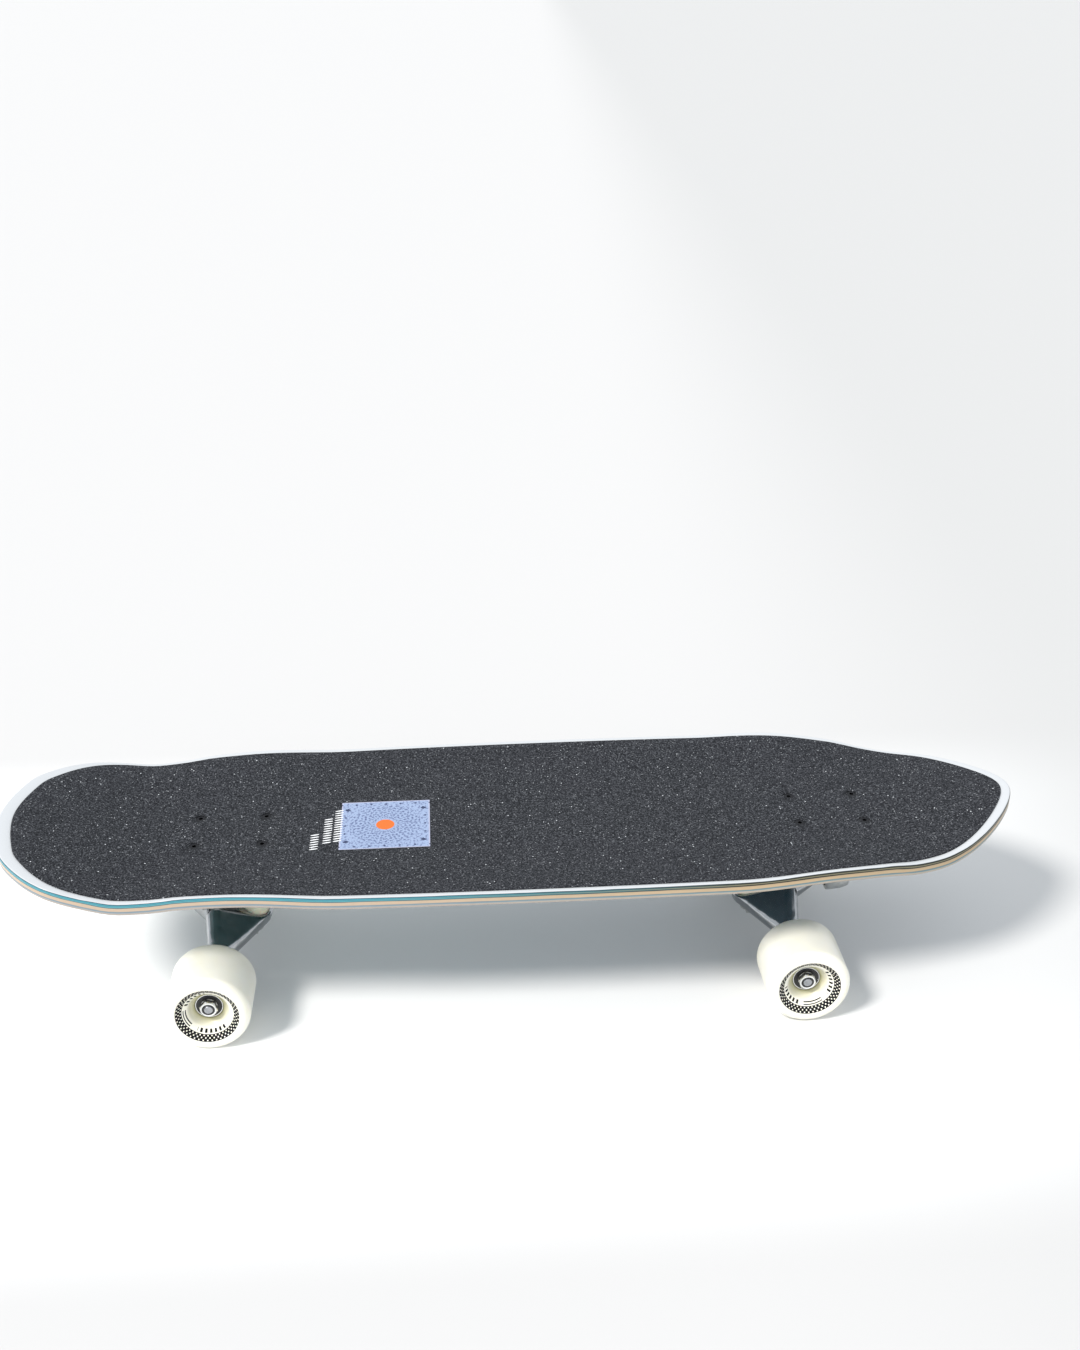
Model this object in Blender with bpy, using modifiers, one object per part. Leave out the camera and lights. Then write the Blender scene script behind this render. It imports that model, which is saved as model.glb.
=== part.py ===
"""A surf-style skateboard: a pressed maple deck with grip tape, two cast trucks and four wheels.

Run it with blender --background --python part.py, or from Blender's text editor. It leaves one object
for each piece of the board, in metres, +Z up, with the nose at -X, the tail at +X and the origin on the
ground under the middle of the deck. The sizes below are in millimetres.

Each truck is modelled about its own axle. u runs outwards along the board, away from its middle, v runs
along the axle and w runs up. The front truck hangs from an arm that swings under the deck on an upright
pin, and the rear one from a tall baseplate bolted straight to the deck.
"""

import math

import bmesh
import bpy
from mathutils import Matrix, Vector

MM = 0.001

# Driving dimensions, in millimetres.
DECK_HALF_LENGTH = 412.5
DECK_THICKNESS = 10.8
GRIP_THICKNESS = 0.9
GRIP_TOP = 124.0
BOLTS_MIDDLE = 14.0
BOLT_CENTRES = 245.7
BOLT_PATTERN = (53.98, 41.28)
FRONT_AXLE = -244.2
REAR_AXLE = 224.3
WHEEL_RADIUS = 33.0
WHEEL_WIDTH = 51.0
WHEEL_MIDDLE = 94.5
AXLE_RADIUS = 3.97
AXLE_HALF_LENGTH = 112.3
GAP = 0.3

# Half of the deck's outline, from the nose's tip to the tail's, as (distance along, half width).
DECK_OUTLINE = (
    (-DECK_HALF_LENGTH, 0.0),
    (-402.2, 52.2),
    (-386.6, 75.2),
    (-365.0, 92.0),
    (-339.5, 100.5),
    (-289.0, 106.5),
    (-188.0, 112.0),
    (-87.0, 115.3),
    (39.0, 116.7),
    (164.0, 115.8),
    (215.0, 113.2),
    (265.0, 105.5),
    (315.0, 92.5),
    (361.5, 70.4),
    (398.3, 33.1),
    (DECK_HALF_LENGTH, 0.0),
)
# The bare rim that the grip tape leaves, at the nose, along the sides and at the tail.
RIM_NOSE, RIM_SIDE, RIM_TAIL = 10.8, 5.3, 7.7
# The kicks rise on a bend centred this far from the middle of the bolts, then go on straight.
NOSE_BEND, NOSE_SLOPE = 305.0, 0.215
TAIL_BEND, TAIL_SLOPE = 310.0, 0.2
BEND_LENGTH = 60.0
# The concave: how far the rails stand over the middle, at a distance from the middle of the bolts.
CONCAVE = ((0.0, 8.9), (150.0, 9.0), (232.0, 12.9), (270.0, 11.8), (300.0, 6.9), (330.0, 2.2), (430.0, 1.5))
CONCAVE_REACH = 111.0
CONCAVE_FLAT = 23.0
CONCAVE_POWER = 1.8
SPINE = (-316.0, 318.0)
OUTLINE_STEPS = 32
# How far out each line of points lies, from the spine to the grip tape's outline.
RING_PARTS = (0.0, 0.2, 0.48, 0.75, 1.0)
RINGS = len(RING_PARTS) - 1

# The truck, about its axle.
RING_CENTRE = (-25.0, 11.5)
RING_RADIUS = 15.5
KINGPIN_TILT = math.radians(-15.0)
REAR_PIVOT = (45.0, 25.5)
FRONT_PIVOT = (41.0, 32.0)
KINGPIN_RADIUS = 4.7
BUSHING_RADIUS = 11.5
SEAT = 3.0
UPPER_BUSHING = 12.0
LOWER_BUSHING = 8.0
WASHER = 1.6
DECK_UNDERSIDE = GRIP_TOP - GRIP_THICKNESS - GAP - DECK_THICKNESS - WHEEL_RADIUS
PAD = 2.0
FLANGE = 6.0
FLANGE_TOP = DECK_UNDERSIDE - PAD - 2 * GAP
SWIVEL = -31.5


def smooth(start, end, value):
    t = min(max((value - start) / (end - start), 0.0), 1.0)
    return t * t * (3.0 - 2.0 * t)


def curve_through(points, t):
    """The point at t, from 0 to 1, on a smooth curve through the points, which its mirror image continues."""
    first, last = points[1], points[-2]
    ends = [(first[0], -first[1]), *points, (last[0], -last[1])]
    knots = [0.0]
    for a, b in zip(ends, ends[1:]):
        knots.append(knots[-1] + math.sqrt(math.dist(a, b)))
    at = knots[1] + t * (knots[-2] - knots[1])
    i = 1
    while i < len(ends) - 3 and at > knots[i + 1]:
        i += 1
    span = knots[i + 1] - knots[i]
    s = (at - knots[i]) / span
    result = []
    for axis in (0, 1):
        before, start, end, after = (ends[j][axis] for j in range(i - 1, i + 3))
        leave = (end - before) / (knots[i + 1] - knots[i - 1]) * span
        arrive = (after - start) / (knots[i + 2] - knots[i]) * span
        result.append(
            (2 * s**3 - 3 * s**2 + 1) * start
            + (s**3 - 2 * s**2 + s) * leave
            + (3 * s**2 - 2 * s**3) * end
            + (s**3 - s**2) * arrive
        )
    return result


def interpolate(stations, value):
    """The height at value on a smooth curve through the stations, which never swings past one of them."""
    rates = [(b[1] - a[1]) / (b[0] - a[0]) for a, b in zip(stations, stations[1:])]
    slopes = [0.0]
    for before, after in zip(rates, rates[1:]):
        slopes.append(2 * before * after / (before + after) if before * after > 0 else 0.0)
    slopes.append(0.0)
    i = 0
    while i < len(rates) - 1 and value > stations[i + 1][0]:
        i += 1
    (start, low), (end, high) = stations[i], stations[i + 1]
    span = end - start
    s = min((value - start) / span, 1.0)
    leave, arrive = slopes[i] * span, slopes[i + 1] * span
    return (
        (2 * s**3 - 3 * s**2 + 1) * low
        + (s**3 - 2 * s**2 + s) * leave
        + (3 * s**2 - 2 * s**3) * high
        + (s**3 - s**2) * arrive
    )


def kick(along):
    bend, slope = (NOSE_BEND, NOSE_SLOPE) if along < 0 else (TAIL_BEND, TAIL_SLOPE)
    into = abs(along) - (bend - BEND_LENGTH / 2)
    if into <= 0:
        return 0.0
    if into < BEND_LENGTH:
        return slope * into * into / (2 * BEND_LENGTH)
    return slope * (into - BEND_LENGTH / 2)


def deck_rise(x, y):
    """How far the deck's top stands over its level at the bolts."""
    along = x - BOLTS_MIDDLE
    concave = interpolate(CONCAVE, abs(along))
    out = max(abs(y) - CONCAVE_FLAT, 0.0) / (CONCAVE_REACH - CONCAVE_FLAT)
    return kick(along) + concave * out**CONCAVE_POWER


def rim_width(x):
    nose = smooth(326.0, 406.0, -x)
    tail = smooth(334.0, 404.0, x)
    return RIM_SIDE + (RIM_NOSE - RIM_SIDE) * nose + (RIM_TAIL - RIM_SIDE) * tail


def outline_pair(step):
    """A point of the deck's outline, and the point of the grip tape's outline beside it."""
    turn = 2 * math.pi * step / OUTLINE_STEPS
    t = step / OUTLINE_STEPS - 0.45 * math.sin(turn) / (2 * math.pi)
    x, y = curve_through(DECK_OUTLINE, t)
    before = curve_through(DECK_OUTLINE, max(t - 0.002, 0.0))
    after = curve_through(DECK_OUTLINE, min(t + 0.002, 1.0))
    along = Vector((after[0] - before[0], after[1] - before[1])).normalized()
    if step in (0, OUTLINE_STEPS):
        along = Vector((0.0, 1.0 if step == 0 else -1.0))
        y = 0.0
    rim = rim_width(x)
    return (x, y), (x + along.y * rim, max(y - along.x * rim, 0.0))


# Making and placing objects.

for scene_object in list(bpy.data.objects):
    bpy.data.objects.remove(scene_object, do_unlink=True)

parts = bpy.data.collections.new("skateboard")
bpy.context.scene.collection.children.link(parts)
cutters = bpy.data.collections.new("cutters")
bpy.context.scene.collection.children.link(cutters)


def material(name, colour, roughness, metallic=0.0):
    made = bpy.data.materials.new(name)
    made.use_nodes = True
    shader = made.node_tree.nodes["Principled BSDF"]
    shader.inputs["Base Color"].default_value = (*colour, 1.0)
    shader.inputs["Roughness"].default_value = roughness
    shader.inputs["Metallic"].default_value = metallic
    return made


MAPLE = material("maple", (0.74, 0.50, 0.29), 0.45)
GRIT = material("grip_grit", (0.065, 0.07, 0.08), 0.95)
CAST = material("polished_cast_aluminium", (0.62, 0.63, 0.62), 0.22, 1.0)
STEEL = material("zinc_plated_steel", (0.60, 0.60, 0.58), 0.3, 1.0)
BLACK_STEEL = material("black_steel", (0.03, 0.03, 0.032), 0.4, 1.0)
IVORY = material("ivory_urethane", (0.87, 0.83, 0.68), 0.35)
CREAM = material("cream_bushing_urethane", (0.83, 0.80, 0.62), 0.4)
RUBBER = material("black_rubber", (0.02, 0.02, 0.022), 0.7)
SPRING_STEEL = material("spring_steel", (0.35, 0.35, 0.36), 0.35, 1.0)


def new_object(name, mesh, finish, collection=None):
    made = bpy.data.objects.new(name, mesh)
    (collection or parts).objects.link(made)
    if finish:
        mesh.materials.append(finish)
    return made


def from_bmesh(name, bm, finish, collection=None):
    bmesh.ops.recalc_face_normals(bm, faces=bm.faces)
    mesh = bpy.data.meshes.new(name)
    bm.to_mesh(mesh)
    bm.free()
    return new_object(name, mesh, finish, collection)


def applied(obj):
    """The object with its modifiers and its placing worked into its mesh."""
    bpy.context.view_layer.update()
    graph = bpy.context.evaluated_depsgraph_get()
    mesh = bpy.data.meshes.new_from_object(obj.evaluated_get(graph))
    mesh.transform(obj.matrix_world)
    obj.modifiers.clear()
    obj.data = mesh
    obj.matrix_world = Matrix.Identity(4)
    return obj


def moved(obj, matrix):
    obj.matrix_world = matrix @ obj.matrix_world
    return obj


def shaded(obj, angle=35.0):
    obj.data.shade_smooth()
    obj.data.set_sharp_from_angle(angle=math.radians(angle))
    return obj


def turned(name, profile, steps, finish=None, collection=None, ring=False):
    """A shape turned about Z: (radius, height) points down its outer side, closed at the axis or as a ring."""
    bm = bmesh.new()
    points = [bm.verts.new((radius * MM, 0.0, height * MM)) for radius, height in profile]
    for a, b in zip(points, points[1:] + (points[:1] if ring else [])):
        bm.edges.new((a, b))
    mesh = bpy.data.meshes.new(name)
    bm.to_mesh(mesh)
    bm.free()
    made = new_object(name, mesh, finish, collection)
    screw = made.modifiers.new("turn", "SCREW")
    screw.steps = screw.render_steps = steps
    screw.use_merge_vertices = True
    screw.merge_threshold = 0.00001
    return shaded(applied(made))


def tube_ring(name, outer, inner, bottom, top, steps, finish=None, edge=0.0):
    """A ring about Z, its outer edges broken where edge says so."""
    profile = [(inner, top), (outer - edge, top), (outer - edge, bottom), (inner, bottom)]
    if edge:
        profile[2:2] = [(outer, top - edge), (outer, bottom + edge)]
    return turned(name, profile, steps, finish, ring=True)


def rod(name, radius, bottom, top, steps, finish=None, collection=None, edge=0.5):
    profile = (
        (0.0, top),
        (radius - edge, top),
        (radius, top - edge),
        (radius, bottom + edge),
        (radius - edge, bottom),
        (0.0, bottom),
    )
    return turned(name, profile, steps, finish, collection)


def hex_prism(name, flats, bottom, top, finish=None, collection=None, chamfer=0.0):
    """A six-sided prism about Z, across the flats, with a small bevel round its ends."""
    bm = bmesh.new()
    radius = flats / math.sqrt(3.0) * MM
    bmesh.ops.create_cone(
        bm, cap_ends=True, segments=6, radius1=radius, radius2=radius, depth=(top - bottom) * MM
    )
    bmesh.ops.translate(bm, verts=bm.verts, vec=(0.0, 0.0, (top + bottom) / 2 * MM))
    made = from_bmesh(name, bm, finish, collection)
    if chamfer:
        bevel = made.modifiers.new("corners", "BEVEL")
        bevel.width = chamfer * MM
        bevel.segments = 1
        bevel.limit_method = "ANGLE"
        bevel.angle_limit = math.radians(70.0)
        applied(made)
    return made


def hull(name, points, finish=None, collection=None):
    """The convex shape round the points."""
    bm = bmesh.new()
    for point in points:
        bm.verts.new([value * MM for value in point])
    found = bmesh.ops.convex_hull(bm, input=bm.verts)
    unused = [item for item in found["geom_interior"] if isinstance(item, bmesh.types.BMVert)]
    bmesh.ops.delete(bm, geom=unused, context="VERTS")
    bmesh.ops.dissolve_limit(bm, angle_limit=math.radians(1.0), verts=bm.verts, edges=bm.edges)
    return from_bmesh(name, bm, finish, collection)


def combine(obj, operation, *others):
    """Joins or cuts with the other shapes, which become hidden cutters."""
    for other in others:
        if other.name not in cutters.objects:
            parts.objects.unlink(other)
            cutters.objects.link(other)
        other.hide_render = True
        other.display_type = "WIRE"
        boolean = obj.modifiers.new(operation.lower(), "BOOLEAN")
        boolean.operation = operation
        boolean.object = other
    return applied(obj)


def circle_points(centre, axis, radius, steps):
    """Points round a circle that stands square to the axis."""
    axis = Vector(axis).normalized()
    side = axis.orthogonal().normalized()
    other = axis.cross(side)
    found = []
    for i in range(steps):
        turn = 2 * math.pi * i / steps
        found.append(Vector(centre) + side * radius * math.cos(turn) + other * radius * math.sin(turn))
    return found


def slab_points(u0, u1, half_width, w0, w1, corner=5.0):
    """The corners of a flat block, each cut off at 45 degrees."""
    found = []
    for w in (w0, w1):
        for side in (-1, 1):
            found += [(u0 + corner, side * half_width, w), (u1 - corner, side * half_width, w)]
            found += [(u0, side * (half_width - corner), w), (u1, side * (half_width - corner), w)]
    return found


def along_axis(centre, axis):
    """Turns +Z to the axis and puts the origin at the centre."""
    turn = Vector((0.0, 0.0, 1.0)).rotation_difference(Vector(axis)).to_matrix().to_4x4()
    return Matrix.Translation(Vector(centre) * MM) @ turn


# The deck and its grip tape.


def rounded_panel(name, rings, level, thickness, finish, edge):
    """Half of the deck's top as a sheet over rings of points, mirrored, then thickened downwards.

    The rings run from the spine to the grip tape's outline, and one more reaches the deck's own.
    """
    bm = bmesh.new()
    bmesh.ops.create_grid(bm, x_segments=OUTLINE_STEPS, y_segments=rings, size=0.5)
    pairs = [outline_pair(step) for step in range(OUTLINE_STEPS + 1)]
    for vert in bm.verts:
        step = round((vert.co.x + 0.5) * OUTLINE_STEPS)
        ring = round((vert.co.y + 0.5) * rings)
        deck_point, grip_point = pairs[step]
        spine_x = min(max(deck_point[0], SPINE[0]), SPINE[1])
        if ring > RINGS:
            x, y = deck_point
        else:
            part = RING_PARTS[ring]
            x = spine_x + (grip_point[0] - spine_x) * part
            y = grip_point[1] * part
        vert.co = Vector((x, y, level + deck_rise(x, y))) * MM
    bmesh.ops.remove_doubles(bm, verts=bm.verts, dist=0.00001)
    bmesh.ops.recalc_face_normals(bm, faces=bm.faces)
    if sum(face.normal.z for face in bm.faces) < 0:
        bmesh.ops.reverse_faces(bm, faces=bm.faces)
    mesh = bpy.data.meshes.new(name)
    bm.to_mesh(mesh)
    bm.free()
    made = new_object(name, mesh, finish)
    mirror = made.modifiers.new("mirror", "MIRROR")
    mirror.use_axis = (False, True, False)
    mirror.merge_threshold = 0.00001
    applied(made)
    bm = bmesh.new()
    bm.from_mesh(made.data)
    found = bmesh.ops.extrude_face_region(bm, geom=bm.faces[:], use_keep_orig=True)
    lower = [item for item in found["geom"] if isinstance(item, bmesh.types.BMVert)]
    bmesh.ops.translate(bm, verts=lower, vec=(0.0, 0.0, -thickness * MM))
    bmesh.ops.recalc_face_normals(bm, faces=bm.faces)
    bm.to_mesh(made.data)
    bm.free()
    if edge:
        bevel = made.modifiers.new("edge", "BEVEL")
        bevel.width = edge * MM
        bevel.segments = 2
        bevel.limit_method = "ANGLE"
        bevel.angle_limit = math.radians(55.0)
    return applied(made)


def bolt_places():
    """(name, x, y) of the eight mounting bolts."""
    places = []
    for end, centre in (("front", BOLTS_MIDDLE - BOLT_CENTRES), ("rear", BOLTS_MIDDLE + BOLT_CENTRES)):
        number = 0
        for along in (-0.5, 0.5):
            for across in (-0.5, 0.5):
                number += 1
                x = centre + along * BOLT_PATTERN[0]
                places.append((f"{end}_bolt_{number}", x, across * BOLT_PATTERN[1]))
    return places


deck = rounded_panel(
    "deck", RINGS + 1, GRIP_TOP - GRIP_THICKNESS - GAP, DECK_THICKNESS, MAPLE, 2.4
)
grip = rounded_panel("grip_tape", RINGS, GRIP_TOP, GRIP_THICKNESS, GRIT, 0.0)

BOLT_SHANK = 2.4
BOLT_HEAD = 4.3
HEAD_DEPTH = 3.0
HEAD_SINK = 0.5
BOLT_END = FLANGE_TOP + WHEEL_RADIUS - FLANGE - 7.2
head_top = GRIP_TOP - HEAD_SINK
hole_profile = (
    (0.0, GRIP_TOP + 3.0),
    (BOLT_HEAD + GAP, GRIP_TOP + 3.0),
    (BOLT_HEAD + GAP, head_top - 0.6),
    (BOLT_SHANK + GAP, head_top - 0.6 - HEAD_DEPTH),
    (BOLT_SHANK + GAP, BOLT_END - 5.0),
    (0.0, BOLT_END - 5.0),
)
shank_profile = (
    (0.0, head_top),
    (BOLT_HEAD, head_top),
    (BOLT_HEAD, head_top - 0.4),
    (BOLT_SHANK, head_top - 0.4 - HEAD_DEPTH),
    (BOLT_SHANK, BOLT_END),
    (0.0, BOLT_END),
)
nut_top = FLANGE_TOP + WHEEL_RADIUS - FLANGE - GAP
for bolt_name, bolt_x, bolt_y in bolt_places():
    place = Matrix.Translation(Vector((bolt_x, bolt_y, 0.0)) * MM)
    for number, board in enumerate((deck, grip)):
        hole = turned(f"hole_{bolt_name}_{number}", hole_profile, 10, collection=cutters)
        moved(hole, place)
        combine(board, "DIFFERENCE", hole)
    bolt = turned(bolt_name, shank_profile, 10, BLACK_STEEL)
    socket = hex_prism(f"socket_{bolt_name}", 3.2, head_top - 2.0, head_top + 1.0, collection=cutters)
    combine(bolt, "DIFFERENCE", socket)
    moved(bolt, place)
    nut = hex_prism(bolt_name.replace("bolt", "nut"), 9.4, nut_top - 4.4, nut_top, STEEL)
    bore = rod(f"bore_{bolt_name}", BOLT_SHANK + GAP, nut_top - 8.0, nut_top + 4.0, 10, collection=cutters)
    combine(nut, "DIFFERENCE", bore)
    moved(nut, place)
shaded(deck, 30.0)
shaded(grip, 30.0)


# The trucks.

KINGPIN_UP = Vector((math.sin(KINGPIN_TILT), 0.0, math.cos(KINGPIN_TILT)))
RING = Vector((RING_CENTRE[0], 0.0, RING_CENTRE[1]))


def steering_axis(pivot):
    return (Vector((pivot[0], 0.0, pivot[1])) - RING).normalized()


def on_kingpin(distance):
    return RING + KINGPIN_UP * distance


def end_rods(name, pairs, radius, steps=10, **kwargs):
    """The convex shape round two or more circles: (centre, axis) of each."""
    points = []
    for (centre, axis), size in zip(pairs, radius):
        points += circle_points(centre, axis, size, steps)
    return hull(name, points, **kwargs)


def make_hanger(name, pivot, finish):
    """The casting that holds the axle: wings, the kingpin's ring, and the pivot's stem."""
    across = (0.0, 1.0, 0.0)
    axis = steering_axis(pivot)
    tip = Vector((pivot[0], 0.0, pivot[1]))
    body_points = circle_points(on_kingpin(-4.0), KINGPIN_UP, RING_RADIUS - 0.6, 20)
    body_points += circle_points(on_kingpin(4.0), KINGPIN_UP, RING_RADIUS, 20)
    for side in (-1, 1):
        body_points += circle_points((0.0, side * 44.0, 0.0), across, 9.0, 12)
        body_points += circle_points((3.5, side * 14.0, 1.0), across, 11.0, 12)
        body_points += circle_points((2.6, side * 19.0, 19.0), across, 9.5, 12)
    made = hull(name, body_points, finish)
    for side in (-1, 1):
        arm = end_rods(
            f"arm_{name}_{side}",
            (((0.0, side * 40.0, 0.0), across), ((0.0, side * 81.5, 0.0), across)),
            (8.8, 7.0),
            16,
            collection=cutters,
        )
        combine(made, "UNION", arm)
    root = end_rods(
        f"root_{name}",
        (((2.0, 0.0, 7.0), (0.64, 0.0, 0.77)), (tip - axis * 17.0, axis)),
        (11.5, 7.0),
        14,
        collection=cutters,
    )
    stem_profile = (
        (0.0, 5.4),
        (3.4, 4.6),
        (5.6, 2.2),
        (6.4, -1.0),
        (6.4, -19.0),
        (0.0, -19.0),
    )
    stem = turned(f"stem_{name}", stem_profile, 14, collection=cutters)
    moved(stem, along_axis(tip, axis))
    combine(made, "UNION", root, stem)
    bore = rod(f"axle_bore_{name}", AXLE_RADIUS + GAP, -90.0, 90.0, 12, collection=cutters)
    moved(bore, along_axis((0.0, 0.0, 0.0), across))
    seat = BUSHING_RADIUS + 0.5
    ring_profile = (
        (0.0, 20.0),
        (seat, 20.0),
        (seat, SEAT),
        (8.2, SEAT),
        (8.2, -SEAT),
        (seat, -SEAT),
        (seat + 0.6, -SEAT - 4.0),
        (seat + 4.0, -30.0),
        (0.0, -30.0),
    )
    ring_hole = turned(f"ring_hole_{name}", ring_profile, 20, collection=cutters)
    moved(ring_hole, along_axis(RING, KINGPIN_UP))
    return shaded(combine(made, "DIFFERENCE", bore, ring_hole))


UPPER_END = SEAT + GAP + UPPER_BUSHING
CUP_TOP = UPPER_END + GAP + WASHER
BOSS_BOTTOM = CUP_TOP + GAP
HEAD_SEAT = BOSS_BOTTOM + 8.0
HEAD_HEIGHT = 5.6
LOWER_END = SEAT + GAP + LOWER_BUSHING
NUT_HEIGHT = 6.4
NUT_FAR = LOWER_END + 2 * GAP + WASHER + NUT_HEIGHT


def make_kingpin_set(end, place):
    """The kingpin with its nut, two cup washers and two bushings."""
    on_pin = place @ along_axis(RING, KINGPIN_UP)
    shaft = rod(f"{end}_kingpin", KINGPIN_RADIUS, -NUT_FAR - 1.6, HEAD_SEAT + 2.0, 16, STEEL)
    head = hex_prism(
        f"head_{end}", 14.0, HEAD_SEAT + GAP, HEAD_SEAT + GAP + HEAD_HEIGHT, collection=cutters, chamfer=0.6
    )
    moved(combine(shaft, "UNION", head), on_pin)
    nut = hex_prism(f"{end}_kingpin_nut", 14.2, -NUT_FAR, -NUT_FAR + NUT_HEIGHT, STEEL, chamfer=0.8)
    bore = rod(f"nut_bore_{end}", KINGPIN_RADIUS + GAP, -60.0, 60.0, 16, collection=cutters)
    moved(combine(nut, "DIFFERENCE", bore), on_pin)
    inner = KINGPIN_RADIUS + GAP
    upper = tube_ring(
        f"{end}_boardside_bushing", BUSHING_RADIUS, inner + 0.3, SEAT + GAP, UPPER_END, 20, CREAM, 0.8
    )
    cone = (
        (inner + 0.3, -SEAT - GAP),
        (BUSHING_RADIUS, -SEAT - GAP),
        (BUSHING_RADIUS, -SEAT - GAP - 2.0),
        (BUSHING_RADIUS - 2.6, -LOWER_END),
        (inner + 0.3, -LOWER_END),
    )
    lower = turned(f"{end}_roadside_bushing", cone, 20, CREAM, ring=True)
    cup = tube_ring(
        f"{end}_boardside_washer", 13.2, inner, UPPER_END + GAP, UPPER_END + GAP + WASHER, 20, STEEL
    )
    dish = tube_ring(
        f"{end}_roadside_washer", 10.8, inner, -LOWER_END - GAP - WASHER, -LOWER_END - GAP, 20, STEEL
    )
    for piece in (upper, lower, cup, dish):
        moved(piece, on_pin)


CUP_RADIUS = 9.5
HOUSING_RADII = {"front": 12.2, "rear": 14.0}


def make_pivot_cup(end, pivot, place):
    profile = (
        (0.0, 8.2),
        (CUP_RADIUS, 8.2),
        (CUP_RADIUS, -7.5),
        (6.9, -7.5),
        (6.9, 0.8),
        (5.6, 4.2),
        (0.0, 6.0),
    )
    cup = turned(f"{end}_pivot_cup", profile, 20, RUBBER)
    tip = Vector((pivot[0], 0.0, pivot[1]))
    moved(cup, place @ along_axis(tip, steering_axis(pivot)))


def add_legs(body, end, pivot, slab_bottom, slab_mid):
    """The two legs of a truck's base: one round the kingpin, one round the pivot cup."""
    radius = HOUSING_RADII[end]
    axis = steering_axis(pivot)
    tip = Vector((pivot[0], 0.0, pivot[1]))
    boss = circle_points(on_kingpin(BOSS_BOTTOM), KINGPIN_UP, 13.6, 16)
    boss += circle_points(on_kingpin(HEAD_SEAT + 2.0), KINGPIN_UP, 14.2, 16)
    boss += slab_points(-16.0, 10.0, 19.0, slab_bottom, slab_mid, 4.0)
    boss_leg = hull(f"boss_leg_{body.name}", boss, collection=cutters)
    housing = circle_points(tip - axis * 8.0, axis, radius - 1.0, 16)
    housing += circle_points(tip + axis * 4.0, axis, radius, 16)
    housing += circle_points(tip + axis * 11.0, axis, radius - 1.0, 16)
    housing += circle_points(tip + axis * 14.0, axis, radius - 5.0, 12)
    housing += slab_points(pivot[0] - 10.0, pivot[0] + 15.0, 17.0, slab_bottom, slab_mid, 4.0)
    pivot_leg = hull(f"pivot_leg_{body.name}", housing, collection=cutters)
    combine(body, "UNION", boss_leg, pivot_leg)
    bore_profile = (
        (0.0, 90.0),
        (9.0, 90.0),
        (9.0, HEAD_SEAT),
        (KINGPIN_RADIUS + GAP, HEAD_SEAT),
        (KINGPIN_RADIUS + GAP, 0.0),
        (0.0, 0.0),
    )
    bore = turned(f"kingpin_bore_{body.name}", bore_profile, 16, collection=cutters)
    moved(bore, along_axis(RING, KINGPIN_UP))
    cup_bore = rod(f"cup_bore_{body.name}", CUP_RADIUS + GAP, -14.0, 8.2 + GAP, 20, collection=cutters)
    moved(cup_bore, along_axis(tip, axis))
    return combine(body, "DIFFERENCE", bore, cup_bore)


def bolt_cutters(name, centre_u):
    """Bolt holes through a flange, in the truck's own directions."""
    found = []
    for i, (along, across) in enumerate(((-0.5, -0.5), (-0.5, 0.5), (0.5, -0.5), (0.5, 0.5))):
        cutter = rod(f"bolt_hole_{name}_{i}", BOLT_SHANK + GAP, 40.0, 100.0, 10, collection=cutters)
        offset = (centre_u + along * BOLT_PATTERN[0], across * BOLT_PATTERN[1], 0.0)
        found.append(moved(cutter, Matrix.Translation(Vector(offset) * MM)))
    return found


def sides_of(end):
    """(side, name) of a truck's two ends, named for a rider who faces the nose."""
    return ((-1, "right"), (1, "left")) if end == "front" else ((-1, "left"), (1, "right"))


def make_axle_and_nuts(end, place):
    across = (0.0, 1.0, 0.0)
    lying = along_axis((0.0, 0.0, 0.0), across)
    axle = rod(f"{end}_axle", AXLE_RADIUS, -AXLE_HALF_LENGTH, AXLE_HALF_LENGTH, 12, STEEL)
    moved(axle, place @ lying)
    for side, side_name in sides_of(end):
        inner = WHEEL_MIDDLE + 12.2 + 0.4
        nut = hex_prism(f"{end}_{side_name}_axle_nut", 12.7, inner, inner + 4.6, STEEL, chamfer=0.7)
        bore = rod(f"axle_nut_bore_{end}_{side_name}", AXLE_RADIUS + GAP, 0.0, 200.0, 16, collection=cutters)
        combine(nut, "DIFFERENCE", bore)
        moved(nut, place @ along_axis((0.0, 0.0, 0.0), (0.0, side, 0.0)))


def wheel_profile():
    """(radius, distance outwards from the wheel's middle) round the urethane, from its bore."""
    half = WHEEL_WIDTH / 2
    lip = 6.5
    outer = [(9.4, 4.9), (11.2, 4.9), (11.2, 12.6), (15.4, 16.8)]
    outer += [(19.7, half - 4.1), (24.4, half - 0.5), (WHEEL_RADIUS - lip, half)]
    for turn in (45.0, 90.0):
        angle = math.radians(turn)
        outer.append((WHEEL_RADIUS - lip + lip * math.sin(angle), half - lip + lip * math.cos(angle)))
    mirrored = [(radius, -out) for radius, out in reversed(outer)]
    return outer + mirrored


def make_wheels(end, place):
    for side, side_name in sides_of(end):
        spot = place @ along_axis((0.0, side * WHEEL_MIDDLE, 0.0), (0.0, side, 0.0))
        wheel = turned(f"{end}_{side_name}_wheel", wheel_profile(), 24, IVORY, ring=True)
        moved(wheel, spot)
        for which, start in (("outer", 5.2), ("inner", -12.2)):
            bearing = tube_ring(
                f"{end}_{side_name}_{which}_bearing", 10.9, AXLE_RADIUS + GAP, start, start + 7.0, 16, STEEL
            )
            moved(bearing, spot)


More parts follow.
